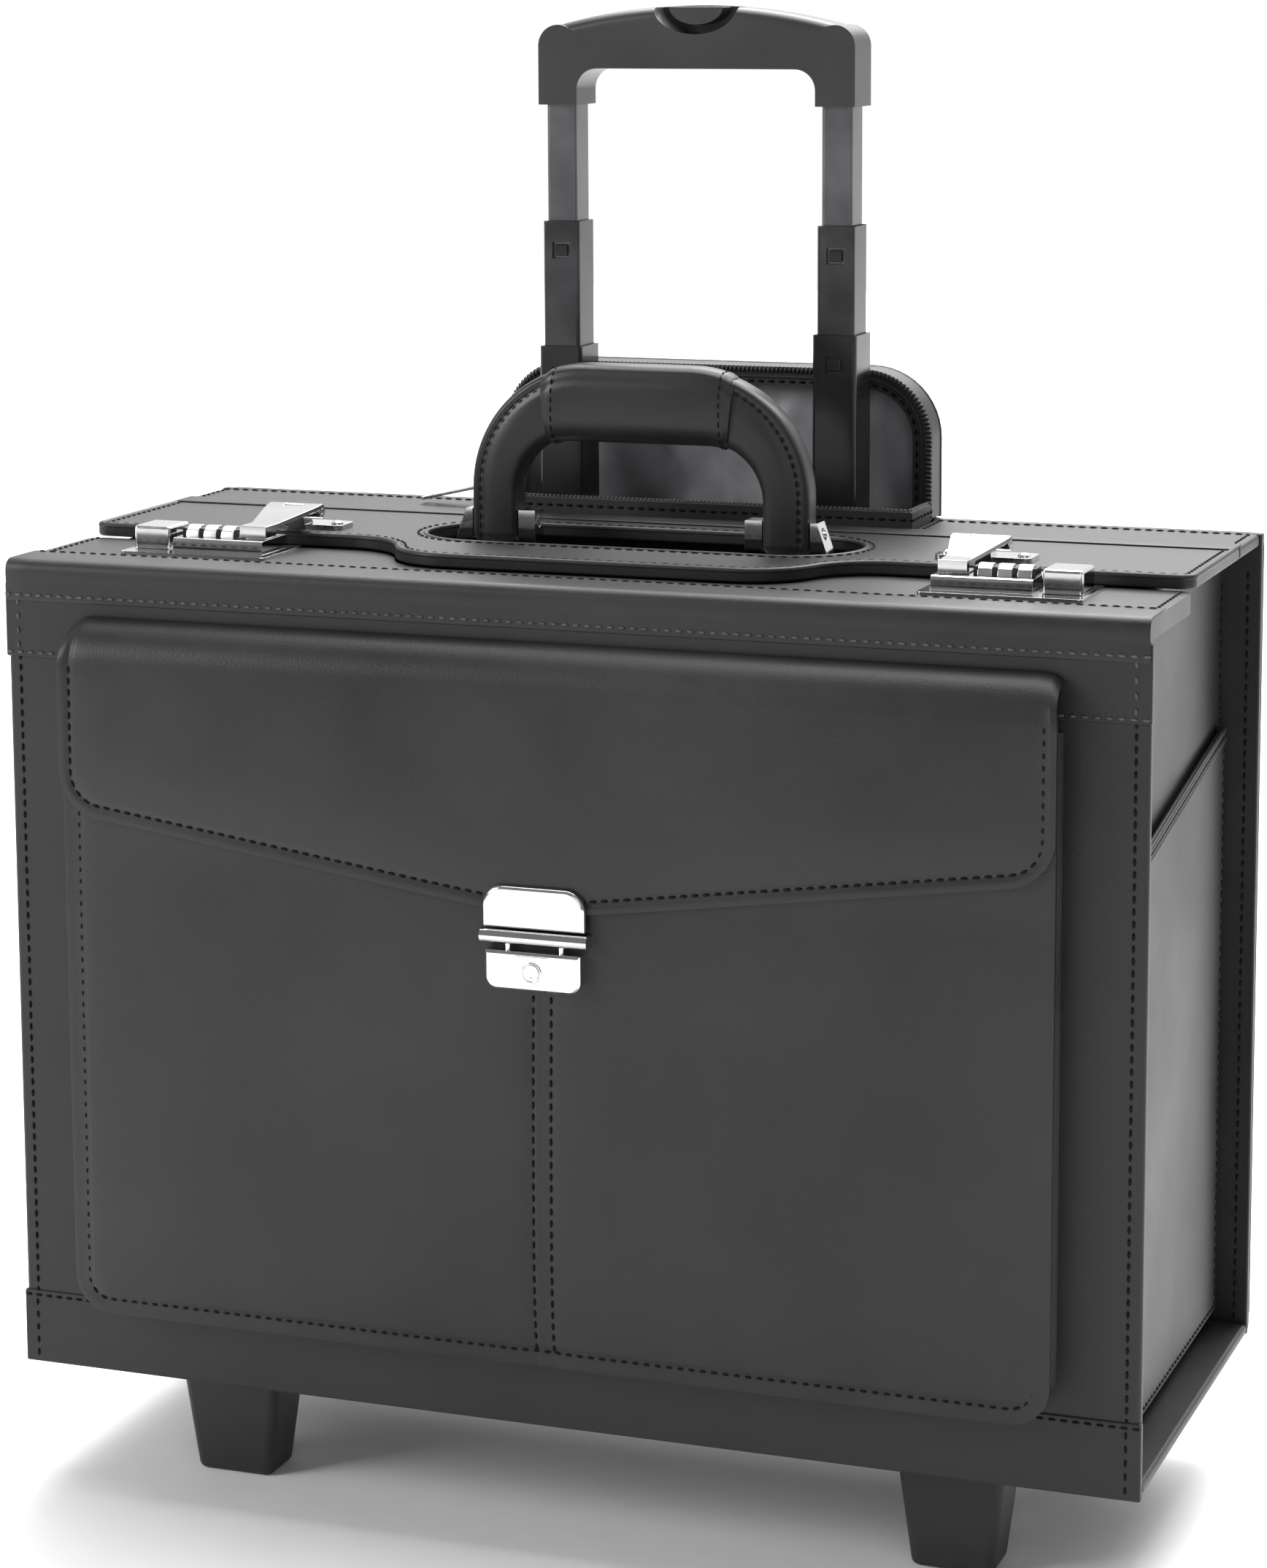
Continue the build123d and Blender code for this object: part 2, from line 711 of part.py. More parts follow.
flap_high = lid_top - flap_drop
flap_bend = pocket_high + flap_thickness + flap_room
flap_side_low = lid_top - flap_side_drop
flap_low = lid_top - flap_tip_drop
flap_back = front_y - fit_gap
with BuildPart() as pocket_flap:
    with BuildSketch(Plane.YZ.offset(-flap_half)):
        with BuildLine():
            Polyline(
                (flap_back, flap_high),
                (flap_face, flap_bend),
                (flap_face, flap_low),
                (flap_face + flap_thickness, flap_low),
                (flap_face + flap_thickness, flap_bend - flap_thickness / 2),
                (flap_back, flap_high - flap_root),
                close=True,
            )
        make_face()
    extrude(amount=2 * flap_half)
    with BuildSketch(Plane.XZ.offset(-front_y)):
        with BuildLine():
            tip = flap_plate_width / 2
            Polyline(
                (-flap_half, flap_high), (-flap_half, flap_side_low), (-tip, flap_low),
                (tip, flap_low), (flap_half, flap_side_low), (flap_half, flap_high),
                close=True,
            )
        make_face()
        fillet(vertices().filter_by_position(Axis.Y, flap_low + fit_gap, flap_high - fit_gap), flap_corner)
    extrude(amount=front_y - flap_face, mode=Mode.INTERSECT)
save(pocket_flap.part, "pocket_flap")

plate_low = flap_low - flap_plate_overhang
with BuildPart() as flap_lock_plate:
    with BuildSketch(Plane.XZ.offset(-flap_face)):
        with Locations((0, plate_low + flap_plate_height / 2)):
            Rectangle(flap_plate_width, flap_plate_height)
        fillet(vertices().group_by(Axis.Y)[-1], flap_plate_height / 2)
    extrude(amount=flap_plate_proud)
    chamfer(flap_lock_plate.faces().sort_by(Axis.Y)[0].edges(), pocket_lock_chamfer)
save(flap_lock_plate.part, "flap_lock_plate")

bar_z = plate_low - 2 * fit_gap - lock_bar_radius
bar_y = pocket_face - lock_bar_radius - 2 * fit_gap
lock_high = bar_z - lock_bar_radius - lock_bar_travel - fit_gap
key_z = lock_high - pocket_lock_height / 2
key_face = pocket_face - pocket_lock_depth - key_proud
stem_places = [(-bar_stem_spread / 2, bar_y), (bar_stem_spread / 2, bar_y)]
with BuildPart() as pocket_lock_body:
    with BuildSketch(Plane.XZ.offset(-pocket_face)):
        with Locations((0, key_z)):
            Rectangle(pocket_lock_width, pocket_lock_height)
        fillet(vertices().group_by(Axis.Y)[0], pocket_lock_round)
    extrude(amount=pocket_lock_depth)
    chamfer(pocket_lock_body.faces().sort_by(Axis.Y)[0].edges(), pocket_lock_chamfer)
    with BuildSketch(Plane.XZ.offset(-key_face - key_depth)):
        with Locations((0, key_z)):
            Circle(key_radius + running_gap)
    extrude(amount=key_depth, mode=Mode.SUBTRACT)
    with BuildSketch(Plane.XY.offset(lock_high)):
        with Locations(*stem_places):
            Circle(bar_stem_radius + running_gap)
    extrude(amount=-bar_stem_depth - lock_bar_travel - fit_gap, mode=Mode.SUBTRACT)
save(pocket_lock_body.part, "pocket_lock_body")

with BuildPart() as lock_bar:
    with BuildSketch(Plane.YZ.offset(-lock_bar_length / 2)):
        with Locations((bar_y, bar_z)):
            Circle(lock_bar_radius)
    extrude(amount=lock_bar_length)
    with BuildSketch(Plane.XY.offset(bar_z)):
        with Locations(*stem_places):
            Circle(bar_stem_radius)
    extrude(amount=lock_high - bar_stem_depth - bar_z)
save(lock_bar.part, "lock_bar")

with BuildPart() as key_cylinder:
    with BuildSketch(Plane.XZ.offset(-key_face - key_depth)):
        with Locations((0, key_z)):
            Circle(key_radius)
    extrude(amount=key_depth)
    with BuildSketch(Plane.XZ.offset(-key_face)):
        with Locations((0, key_z)):
            Rectangle(key_slot, key_slot_length)
    extrude(amount=-key_slot_depth, mode=Mode.SUBTRACT)
save(key_cylinder.part, "key_cylinder")


# ---------------------------------------------------------------- telescopic trolley
def tube_pair(stage, low, tops, windows):
    """Both tubes of one stage, counted outwards from the grip's tubes; low and tops are per side."""
    width = inner_tube_width + stage * tube_step
    depth = inner_tube_depth + stage * tube_step
    with BuildPart() as tubes:
        for (name, side), start, top in zip(SIDES, low, tops):
            with BuildSketch(Plane.XY.offset(bottom_z + start)):
                with Locations((side * tube_centre, trolley_y)):
                    Rectangle(width, depth)
                    Rectangle(width - 2 * tube_wall, depth - 2 * tube_wall, mode=Mode.SUBTRACT)
            extrude(amount=top - start)
            if windows:
                with BuildSketch(Plane.XZ.offset(-trolley_y + depth / 2 - tube_wall)):
                    with Locations((side * tube_centre, bottom_z + top - window_drop - window_height / 2)):
                        Rectangle(window_width, window_height)
                extrude(amount=tube_wall, mode=Mode.SUBTRACT)
    return tubes.part


fixed_top = case_height - fixed_tube_drop
lower_top = fixed_top + stage_lip + lower_out
lower_low = board + stage_lip + lower_out
middle_top = lower_top + right_tube_lead + stage_lip + middle_out
middle_low = lower_low + stage_lip + middle_out
upper_foot = middle_top + stage_lip + upper_out
upper_low = middle_low + stage_lip + upper_out
upper_high = upper_foot + grip_socket
lower_lows = (lower_low, lower_low + right_tube_lead)
lower_tops = (lower_top, lower_top + right_tube_lead)
save(tube_pair(3, (board, board), (fixed_top, fixed_top), False), "fixed_tubes")
save(tube_pair(2, lower_lows, lower_tops, True), "lower_tubes")
save(tube_pair(1, (middle_low, middle_low), (middle_top, middle_top), True), "middle_tubes")
save(tube_pair(0, (upper_low, upper_low), (upper_high, upper_high), False), "upper_tubes")

grip_foot = bottom_z + upper_foot
grip_end = grip_foot + grip_height
grip_crest = grip_end + grip_crown
with BuildPart() as trolley_grip:
    with BuildSketch(Plane.XZ.offset(-trolley_y - grip_depth / 2)):
        with BuildLine():
            end_x = grip_half_width - grip_shoulder
            Polyline(
                (-grip_half_width, grip_end - grip_shoulder), (-grip_half_width, grip_foot),
                (grip_half_width, grip_foot), (grip_half_width, grip_end - grip_shoulder),
            )
            CenterArc((end_x, grip_end - grip_shoulder), grip_shoulder, 0, 90)
            ThreePointArc((end_x, grip_end), (0, grip_crest), (-end_x, grip_end))
            CenterArc((-end_x, grip_end - grip_shoulder), grip_shoulder, 90, 90)
        make_face()
        opening_half = grip_half_width - grip_arm_width
        with BuildLine():
            arch(opening_half, grip_foot - grip_shoulder, grip_foot + grip_bar_bottom, grip_shoulder)
        make_face(mode=Mode.SUBTRACT)
    extrude(amount=grip_depth)
    fillet(trolley_grip.edges().filter_by(GeomType.CIRCLE).group_by(Axis.Z)[-1], grip_edge)
    with BuildSketch(Plane.XZ.offset(-trolley_y + grip_depth / 2 - scoop_depth)):
        with Locations((0, grip_crest)):
            Ellipse(scoop_half_width, scoop_drop)
    extrude(amount=2 * scoop_depth, mode=Mode.SUBTRACT)
    with BuildSketch(Plane.XY.offset(grip_foot)):
        with Locations((-tube_centre, trolley_y), (tube_centre, trolley_y)):
            Rectangle(inner_tube_width, inner_tube_depth)
    extrude(amount=grip_socket, mode=Mode.SUBTRACT)
save(trolley_grip.part, "trolley_grip")

with BuildPart() as release_button:
    with BuildSketch(Plane.XZ.offset(-trolley_y + grip_depth / 2 - scoop_depth + fit_gap)):
        with Locations((0, grip_crest - release_lip)):
            Ellipse(release_half_width, release_drop)
        with Locations((0, grip_crest + release_drop)):
            Rectangle(4 * release_half_width, 2 * (release_drop + release_lip), mode=Mode.SUBTRACT)
    extrude(amount=scoop_depth - release_inset - fit_gap)
save(release_button.part, "release_button")

# ---------------------------------------------------------------- zipped hood behind the trolley
hood_low = deck_top + fit_gap
hood_high = hood_low + hood_height
hood_rear = back_y + hood_overhang
with BuildPart() as hood:
    with BuildSketch(Plane.XZ.offset(-hood_rear)):
        with BuildLine():
            arch(hood_half_width, hood_low, hood_high, hood_corner)
        make_face()
    extrude(amount=hood_depth)
    with BuildSketch(Plane.XZ.offset(-hood_rear + hood_wall)):
        with BuildLine():
            inner_half = hood_half_width - hood_wall
            arch(inner_half, hood_low - hood_wall, hood_high - hood_wall, hood_corner - hood_wall)
        make_face()
    extrude(amount=hood_depth, mode=Mode.SUBTRACT)
save(hood.part, "hood")

with BuildPart() as hood_lining:
    with BuildSketch(Plane.XZ.offset(-hood_rear + hood_wall)):
        with BuildLine():
            arch(inner_half, hood_low, hood_high - hood_wall, hood_corner - hood_wall)
        make_face()
    extrude(amount=hood_lining_thickness)
save(hood_lining.part, "hood_lining")

hem_depth = hood_overhang - fit_gap
with BuildPart() as hood_hem:
    with BuildSketch(Plane.XZ.offset(-back_y - hem_depth)):
        with Locations((0, deck_top - fit_gap - hem_height / 2)):
            Rectangle(2 * hood_half_width, hem_height)
    extrude(amount=hem_depth)
save(hood_hem.part, "hood_hem")

slider_x = -well_half_width + rim_thickness / 2
slider_y = back_y - zip_slider_setback
rim_top = deck_top + rim_height
with BuildPart() as zip_slider:
    with BuildSketch(Plane.XY.offset(rim_top)):
        with Locations((slider_x, slider_y)):
            RectangleRounded(zip_slider_length, zip_slider_length, zip_corner)
    extrude(amount=zip_slider_height)
save(zip_slider.part, "zip_slider")

pull_x = slider_x - zip_slider_length / 2 - fit_gap - zip_pull_thickness
pull_z = rim_top + zip_slider_height / 2
pull_plane = Plane((pull_x, slider_y, pull_z)).rotated((0, -zip_pull_droop, 0))
with BuildPart() as zip_pull:
    with BuildSketch(pull_plane):
        with Locations((-zip_pull_length / 2, 0)):
            RectangleRounded(zip_pull_length, zip_pull_width, zip_corner)
        with Locations((-zip_pull_length + zip_pull_width / 2, 0)):
            Circle(zip_pull_width / 4, mode=Mode.SUBTRACT)
    extrude(amount=zip_pull_thickness / 2, both=True)
save(zip_pull.part, "zip_pull")


# ---------------------------------------------------------------- feet, wheels and their housings
def foot(side):
    """A tapered foot under the front edge."""
    with BuildPart() as part:
        with BuildSketch(Plane.XY):
            with Locations((side * foot_x, front_y + foot_reach)):
                RectangleRounded(foot_sole_width, foot_sole_depth, foot_corner)
        with BuildSketch(Plane.XY.offset(foot_height)):
            with Locations((side * foot_x, front_y + foot_reach)):
                RectangleRounded(foot_top_width, foot_top_depth, foot_corner)
        loft()
    return part.part


housing_width = wheel_width + 2 * (cheek_gap + cheek_thickness)
housing_front = back_y - housing_depth


def wheel_housing(side):
    """A roof plate under the case with a cheek on each side of the wheel."""
    with BuildPart() as part:
        with BuildSketch(Plane.XY.offset(foot_height - housing_roof)):
            with Locations((side * wheel_x, (housing_front + back_y) / 2)):
                Rectangle(housing_width, housing_depth)
        extrude(amount=housing_roof)
        for end in (-1, 1):
            outer = side * wheel_x + end * housing_width / 2
            with BuildSketch(Plane.YZ.offset(min(outer, outer - end * cheek_thickness))):
                with BuildLine():
                    Polyline(
                        (wheel_y - cheek_round, wheel_radius), (housing_front, foot_height - housing_roof),
                        (back_y, foot_height - housing_roof), (wheel_y + cheek_round, wheel_radius), close=True,
                    )
                make_face()
                with Locations((wheel_y, wheel_radius)):
                    Circle(cheek_round)
                    Circle(axle_radius, mode=Mode.SUBTRACT)
            extrude(amount=cheek_thickness)
    return part.part


def wheel(side, inner, outer):
    """A ring about the axle."""
    with BuildPart() as part:
        with BuildSketch(Plane.YZ.offset(side * wheel_x - wheel_width / 2)):
            with Locations((wheel_y, wheel_radius)):
                Circle(outer)
                Circle(inner, mode=Mode.SUBTRACT)
        extrude(amount=wheel_width)
    return part.part


for name, side in SIDES:
    save(foot(side), f"{name}_foot")
    save(wheel_housing(side), f"{name}_wheel_housing")
    save(wheel(side, axle_radius + running_gap, wheel_radius - tyre_thickness), f"{name}_wheel_hub")
    save(wheel(side, wheel_radius - tyre_thickness, wheel_radius), f"{name}_tyre")

with BuildPart() as wheel_axles:
    for name, side in SIDES:
        with BuildSketch(Plane.YZ.offset(side * wheel_x - housing_width / 2)):
            with Locations((wheel_y, wheel_radius)):
                Circle(axle_radius)
        extrude(amount=housing_width)
save(wheel_axles.part, "wheel_axles")
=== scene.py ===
# %% [markdown]
# # A pilot's rolling flight case
# The case is boards covered in black leather, with chrome locks, a soft front pocket, a padded handle and a
# telescopic trolley. The metal and the boards already have their true shapes and places in the frame, so this
# script gives them soft edges, leather, thread and plating, and makes the soft parts around them.

# %% Load the frame
import json
import math

import bmesh
import bpy
from mathutils import Matrix, Vector, noise

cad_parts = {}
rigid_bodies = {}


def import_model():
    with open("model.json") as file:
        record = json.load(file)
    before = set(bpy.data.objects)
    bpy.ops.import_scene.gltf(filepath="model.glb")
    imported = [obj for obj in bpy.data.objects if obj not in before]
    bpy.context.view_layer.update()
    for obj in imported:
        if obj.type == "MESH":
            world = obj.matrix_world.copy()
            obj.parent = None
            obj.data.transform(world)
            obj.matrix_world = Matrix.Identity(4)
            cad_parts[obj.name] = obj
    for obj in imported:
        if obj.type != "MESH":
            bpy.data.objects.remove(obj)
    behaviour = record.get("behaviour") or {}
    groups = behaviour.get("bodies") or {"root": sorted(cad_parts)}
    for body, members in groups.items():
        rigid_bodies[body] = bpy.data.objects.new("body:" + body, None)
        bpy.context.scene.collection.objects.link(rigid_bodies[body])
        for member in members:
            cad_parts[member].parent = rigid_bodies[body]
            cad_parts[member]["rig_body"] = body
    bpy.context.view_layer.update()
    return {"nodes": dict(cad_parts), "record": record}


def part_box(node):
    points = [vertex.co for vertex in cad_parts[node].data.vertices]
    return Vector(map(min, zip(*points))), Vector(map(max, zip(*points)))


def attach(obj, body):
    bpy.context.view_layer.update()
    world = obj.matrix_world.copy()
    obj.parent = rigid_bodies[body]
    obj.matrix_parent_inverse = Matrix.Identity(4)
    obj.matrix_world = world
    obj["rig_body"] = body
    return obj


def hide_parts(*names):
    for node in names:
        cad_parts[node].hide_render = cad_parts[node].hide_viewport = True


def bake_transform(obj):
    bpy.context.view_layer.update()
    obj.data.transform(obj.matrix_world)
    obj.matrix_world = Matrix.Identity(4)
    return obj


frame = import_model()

mm = 0.001
print("nodes in the frame:", len(frame["nodes"]))

# %% [markdown]
# ## Helpers for meshes
# Most steps end the same way: the modifiers are applied, the mesh is left at the world origin, the finish is put
# on, and the piece is told which body it rides on. Short helpers keep the later cells about shapes.

# %% Settle, finish and place a piece
scene = bpy.context.scene


def add_object(name, data):
    """A new object at the origin, in the scene."""
    piece = bpy.data.objects.new(name, data)
    scene.collection.objects.link(piece)
    return piece


def settle(piece):
    """Turns a curve, or an object with modifiers, into a plain mesh object of the same name."""
    bpy.context.view_layer.update()
    graph = bpy.context.evaluated_depsgraph_get()
    mesh = bpy.data.meshes.new_from_object(piece.evaluated_get(graph), depsgraph=graph)
    name = piece.name
    bpy.data.objects.remove(piece)
    return add_object(name, mesh)


def smooth(piece, angle=35):
    """Smooth shading everywhere but across edges sharper than the angle."""
    mesh = piece.data
    mesh.shade_smooth()
    mesh.set_sharp_from_angle(angle=math.radians(angle))


def weigh_normals(piece):
    """Lets big flat faces set the shading, so that only the rounded edges look round."""
    piece.modifiers.new("weighted", "WEIGHTED_NORMAL").keep_sharp = True
    return settle(piece)


def place(piece, body, slot, material, *nodes):
    """Finish, body and the CAD nodes that a piece stands for (the slot is not used); a piece that bends names no
    body.
    """
    piece.data.materials.clear()
    piece.data.materials.append(material)
    if body:
        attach(piece, body)
    if nodes:
        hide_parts(*nodes)
    return piece


def from_rows(name, rows, closed=False):
    """A mesh sheet from rows of points, each row of the same length; closed joins each row's ends."""
    mesh = bpy.data.meshes.new(name)
    count = len(rows[0])
    points = [tuple(point) for row in rows for point in row]
    across = count if closed else count - 1
    faces = []
    for r in range(len(rows) - 1):
        for c in range(across):
            d = (c + 1) % count
            faces.append((r * count + c, r * count + d, (r + 1) * count + d, (r + 1) * count + c))
    mesh.from_pydata(points, [], faces)
    return add_object(name, mesh)


def face_outwards(piece):
    """Merges doubles and turns all faces outwards."""
    shape = bmesh.new()
    shape.from_mesh(piece.data)
    bmesh.ops.remove_doubles(shape, verts=shape.verts, dist=0.02 * mm)
    bmesh.ops.recalc_face_normals(shape, faces=shape.faces)
    shape.to_mesh(piece.data)
    shape.free()


# %% [markdown]
# ## Soft edges on hard parts
# Nothing real has a knife edge: boards are wrapped in leather and castings are tumbled before plating. A copy of
# the part's mesh is merged and cleaned, and its sharp edges are bevelled by a width that suits the part.

# %% A softened copy of a part
def softened(node, width, segments=2, choose=None, wide=None, sharp=32):
    """A copy of a CAD part with bevelled edges; edges that choose() picks get the wide width first."""
    shape = bmesh.new()
    shape.from_mesh(frame["nodes"][node].data)
    bmesh.ops.remove_doubles(shape, verts=shape.verts, dist=0.01 * mm)
    bmesh.ops.dissolve_limit(shape, angle_limit=math.radians(0.6), verts=shape.verts, edges=shape.edges)

    def corners():
        edges = [e for e in shape.edges if len(e.link_faces) == 2]
        return [e for e in edges if e.calc_face_angle(0) > math.radians(sharp)]

    if choose:
        picked = [e for e in corners() if choose(e)]
        bmesh.ops.bevel(
            shape, geom=picked, offset=wide, segments=4, profile=0.5, affect="EDGES", clamp_overlap=True
        )
    bmesh.ops.bevel(
        shape, geom=corners(), offset=width, segments=segments, profile=0.5, affect="EDGES", clamp_overlap=True
    )
    mesh = bpy.data.meshes.new(node + "_soft")
    shape.to_mesh(mesh)
    shape.free()
    piece = add_object(node + "_soft", mesh)
    smooth(piece, 40)
    return weigh_normals(piece)


def body_of(node):
    """The body that a CAD node rides on."""
    return frame["nodes"][node]["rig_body"]


slots = {entry["node"]: entry["material_slot"] for entry in frame["record"]["subparts"]}
both_sides = ((-1, "left"), (1, "right"))


def dress(node, width, material, **options):
    """Replaces a part by its softened copy in the given finish."""
    return place(softened(node, width, **options), body_of(node), slots[node], material, node)


# %% [markdown]
# ## Shared effects for the finishes
# Leather, plastic and plating all need fine relief and slow changes of tone. Each effect is a node group, with
# its sizes as inputs, so that every finish can use it with its own values.

# %% Node groups
def new_group(name, inputs, outputs):
    """A shader group with float or vector sockets."""
    group = bpy.data.node_groups.new(name, "ShaderNodeTree")
    for label, kind, value in inputs:
        socket = group.interface.new_socket(name=label, in_out="INPUT", socket_type=kind)
        if value is not None:
            socket.default_value = value
    for label in outputs:
        group.interface.new_socket(name=label, in_out="OUTPUT", socket_type="NodeSocketFloat")
    return group, group.nodes.new("NodeGroupInput"), group.nodes.new("NodeGroupOutput")


def math_node(tree, operation, first, second):
    """A Math node fed by sockets or numbers; returns its output."""
    node = tree.nodes.new("ShaderNodeMath")
    node.operation = operation
    for index, value in enumerate((first, second)):
        if isinstance(value, (int, float)):
            node.inputs[index].default_value = value
        else:
            tree.links.new(value, node.inputs[index])
    return node.outputs[0]


def texture(tree, kind, vector, scale, **settings):
    """A texture node on the given coordinates."""
    node = tree.nodes.new(kind)
    tree.links.new(vector, node.inputs["Vector"])
    if isinstance(scale, (int, float)):
        node.inputs["Scale"].default_value = scale
    else:
        tree.links.new(scale, node.inputs["Scale"])
    for label, value in settings.items():
        node.inputs[label].default_value = value
    return node


def make_pebble_group():
    """Leather grain: small rounded cells, broken up by finer and coarser noise."""
    group, entry, leave = new_group(
        "leather pebble",
        [("Vector", "NodeSocketVector", None), ("Cells", "NodeSocketFloat", 800.0),
         ("Creases", "NodeSocketFloat", 60.0), ("Depth of creases", "NodeSocketFloat", 0.4)],
        ["Height", "Tone"],
    )
    vector = entry.outputs["Vector"]
    cells = texture(group, "ShaderNodeTexVoronoi", vector, entry.outputs["Cells"], Randomness=0.9)
    fine = texture(group, "ShaderNodeTexNoise", vector, entry.outputs["Cells"], Detail=3.0)
    creases = texture(group, "ShaderNodeTexNoise", vector, entry.outputs["Creases"], Detail=5.0, Distortion=0.6)
    tone = texture(group, "ShaderNodeTexNoise", vector, 9.0, Detail=4.0, Roughness=0.6)
    bumps = math_node(group, "ADD", cells.outputs["Distance"], fine.outputs["Fac"])
    folds = math_node(group, "MULTIPLY", creases.outputs["Fac"], entry.outputs["Depth of creases"])
    group.links.new(math_node(group, "ADD", bumps, folds), leave.inputs["Height"])
    group.links.new(tone.outputs["Fac"], leave.inputs["Tone"])
    return group


def make_streak_group():
    """Long thin streaks along Z, as on drawn or brushed metal, and a slow stain."""
    group, entry, leave = new_group(
        "drawn streaks",
        [("Vector", "NodeSocketVector", None), ("Across", "NodeSocketFloat", 900.0),
         ("Along", "NodeSocketFloat", 6.0)],
        ["Streak", "Stain"],
    )
    split = group.nodes.new("ShaderNodeSeparateXYZ")
    join = group.nodes.new("ShaderNodeCombineXYZ")
    group.links.new(entry.outputs["Vector"], split.inputs[0])
    for axis, size in (("X", "Across"), ("Y", "Across"), ("Z", "Along")):
        scaled = math_node(group, "MULTIPLY", split.outputs[axis], entry.outputs[size])
        group.links.new(scaled, join.inputs[axis])
    streak = texture(group, "ShaderNodeTexNoise", join.outputs[0], 1.0, Detail=3.0)
    stain = texture(group, "ShaderNodeTexNoise", entry.outputs["Vector"], 40.0, Detail=4.0)
    group.links.new(streak.outputs["Fac"], leave.inputs["Streak"])
    group.links.new(stain.outputs["Fac"], leave.inputs["Stain"])
    return group


def make_weave_group():
    """Plain weave: two sets of threads at right angles, on X and Z."""
    group, entry, leave = new_group(
        "plain weave",
        [("Vector", "NodeSocketVector", None), ("Threads", "NodeSocketFloat", 2500.0)],
        ["Height", "Tone"],
    )
    split = group.nodes.new("ShaderNodeSeparateXYZ")
    group.links.new(entry.outputs["Vector"], split.inputs[0])
    waves = []
    for axis in ("X", "Z"):
        turned = math_node(group, "MULTIPLY", split.outputs[axis], entry.outputs["Threads"])
        waves.append(math_node(group, "SINE", turned, 0.0))
    product = math_node(group, "MULTIPLY", waves[0], waves[1])
    tone = texture(group, "ShaderNodeTexNoise", entry.outputs["Vector"], 55.0, Detail=5.0)
    group.links.new(math_node(group, "MULTIPLY_ADD", product, 0.5), leave.inputs["Height"])
    group.links.new(tone.outputs["Fac"], leave.inputs["Tone"])
    return group


pebble_group, streak_group, weave_group = make_pebble_group(), make_streak_group(), make_weave_group()
print("node groups:", [group.name for group in (pebble_group, streak_group, weave_group)])

# %% [markdown]
# ## Finishes
# Each finish is one material: its colour changes a little over the surface, its roughness follows the same tone,
# and fine relief comes from a bump. Numbers that are the same all over stay on the shader's own sockets.

# %% Materials
def finish(name, group, settings, dark, light, rough, bump, relief, tone="Tone", height="Height", **sockets):
    """A material whose colour runs from dark to light and roughness over a range with the group's tone."""
    material = bpy.data.materials.new(name)
    material.use_nodes = True
    tree = material.node_tree
    shader = tree.nodes["Principled BSDF"]
    where = tree.nodes.new("ShaderNodeTexCoord")
    effect = tree.nodes.new("ShaderNodeGroup")
    effect.node_tree = group
    tree.links.new(where.outputs["Object"], effect.inputs["Vector"])
    for label, value in settings.items():
        effect.inputs[label].default_value = value
    ramp = tree.nodes.new("ShaderNodeValToRGB")
    ramp.color_ramp.elements[0].position, ramp.color_ramp.elements[1].position = 0.3, 0.7
    ramp.color_ramp.elements[0].color = (*dark, 1)
    ramp.color_ramp.elements[1].color = (*light, 1)
    tree.links.new(effect.outputs[tone], ramp.inputs["Fac"])
    tree.links.new(ramp.outputs["Color"], shader.inputs["Base Color"])
    spread = tree.nodes.new("ShaderNodeMapRange")
    spread.inputs["From Min"].default_value, spread.inputs["From Max"].default_value = 0.3, 0.7
    spread.inputs["To Min"].default_value, spread.inputs["To Max"].default_value = rough
    tree.links.new(effect.outputs[tone], spread.inputs["Value"])
    tree.links.new(spread.outputs["Result"], shader.inputs["Roughness"])
    raised = tree.nodes.new("ShaderNodeBump")
    raised.inputs["Strength"].default_value = bump
    raised.inputs["Distance"].default_value = relief
    tree.links.new(effect.outputs[height], raised.inputs["Height"])
    tree.links.new(raised.outputs["Normal"], shader.inputs["Normal"])
    for label, value in sockets.items():
        shader.inputs[label.replace("_", " ")].default_value = value
    return material


def grey(value, blue=1.0):
    """A neutral colour, a touch bluer if asked."""
    return (value, value, value * blue)


streaked = {"tone": "Stain", "height": "Streak"}
case_leather = finish("case leather", pebble_group, {"Cells": 900.0, "Creases": 45.0, "Depth of creases": 0.8},
                      grey(0.010), grey(0.019), (0.40, 0.52), 0.30, 0.12 * mm, Specular_IOR_Level=0.35)
soft_leather = finish("soft leather", pebble_group, {"Cells": 1000.0, "Creases": 30.0, "Depth of creases": 1.6},
                      grey(0.009), grey(0.021), (0.38, 0.50), 0.30, 0.14 * mm, Specular_IOR_Level=0.35)
handle_leather = finish("handle leather", pebble_group,
                        {"Cells": 1300.0, "Creases": 70.0, "Depth of creases": 1.0},
                        grey(0.011), grey(0.020), (0.32, 0.44), 0.22, 0.10 * mm, Specular_IOR_Level=0.4)
board_cover = finish("board cover", pebble_group, {"Cells": 700.0, "Creases": 40.0, "Depth of creases": 0.4},
                     grey(0.02), grey(0.03), (0.6, 0.75), 0.3, 0.1 * mm)
thread = finish("black thread", streak_group, {"Across": 4000.0, "Along": 3000.0},
                grey(0.002), grey(0.006), (0.6, 0.8), 0.3, 0.05 * mm, **streaked,
                Specular_IOR_Level=0.15)
pale_thread = finish("grey thread", streak_group, {"Across": 4000.0, "Along": 3000.0},
                     grey(0.035), grey(0.08), (0.5, 0.7), 0.3, 0.05 * mm, **streaked)
chrome = finish("chrome plating", streak_group, {"Across": 120.0, "Along": 80.0},
                grey(0.66), grey(0.74), (0.06, 0.14), 0.03, 0.03 * mm, **streaked, Metallic=1.0)
dial_nickel = finish("nickel wheels", streak_group, {"Across": 600.0, "Along": 500.0},
                     grey(0.62), grey(0.74), (0.18, 0.30), 0.05, 0.03 * mm, **streaked, Metallic=1.0)
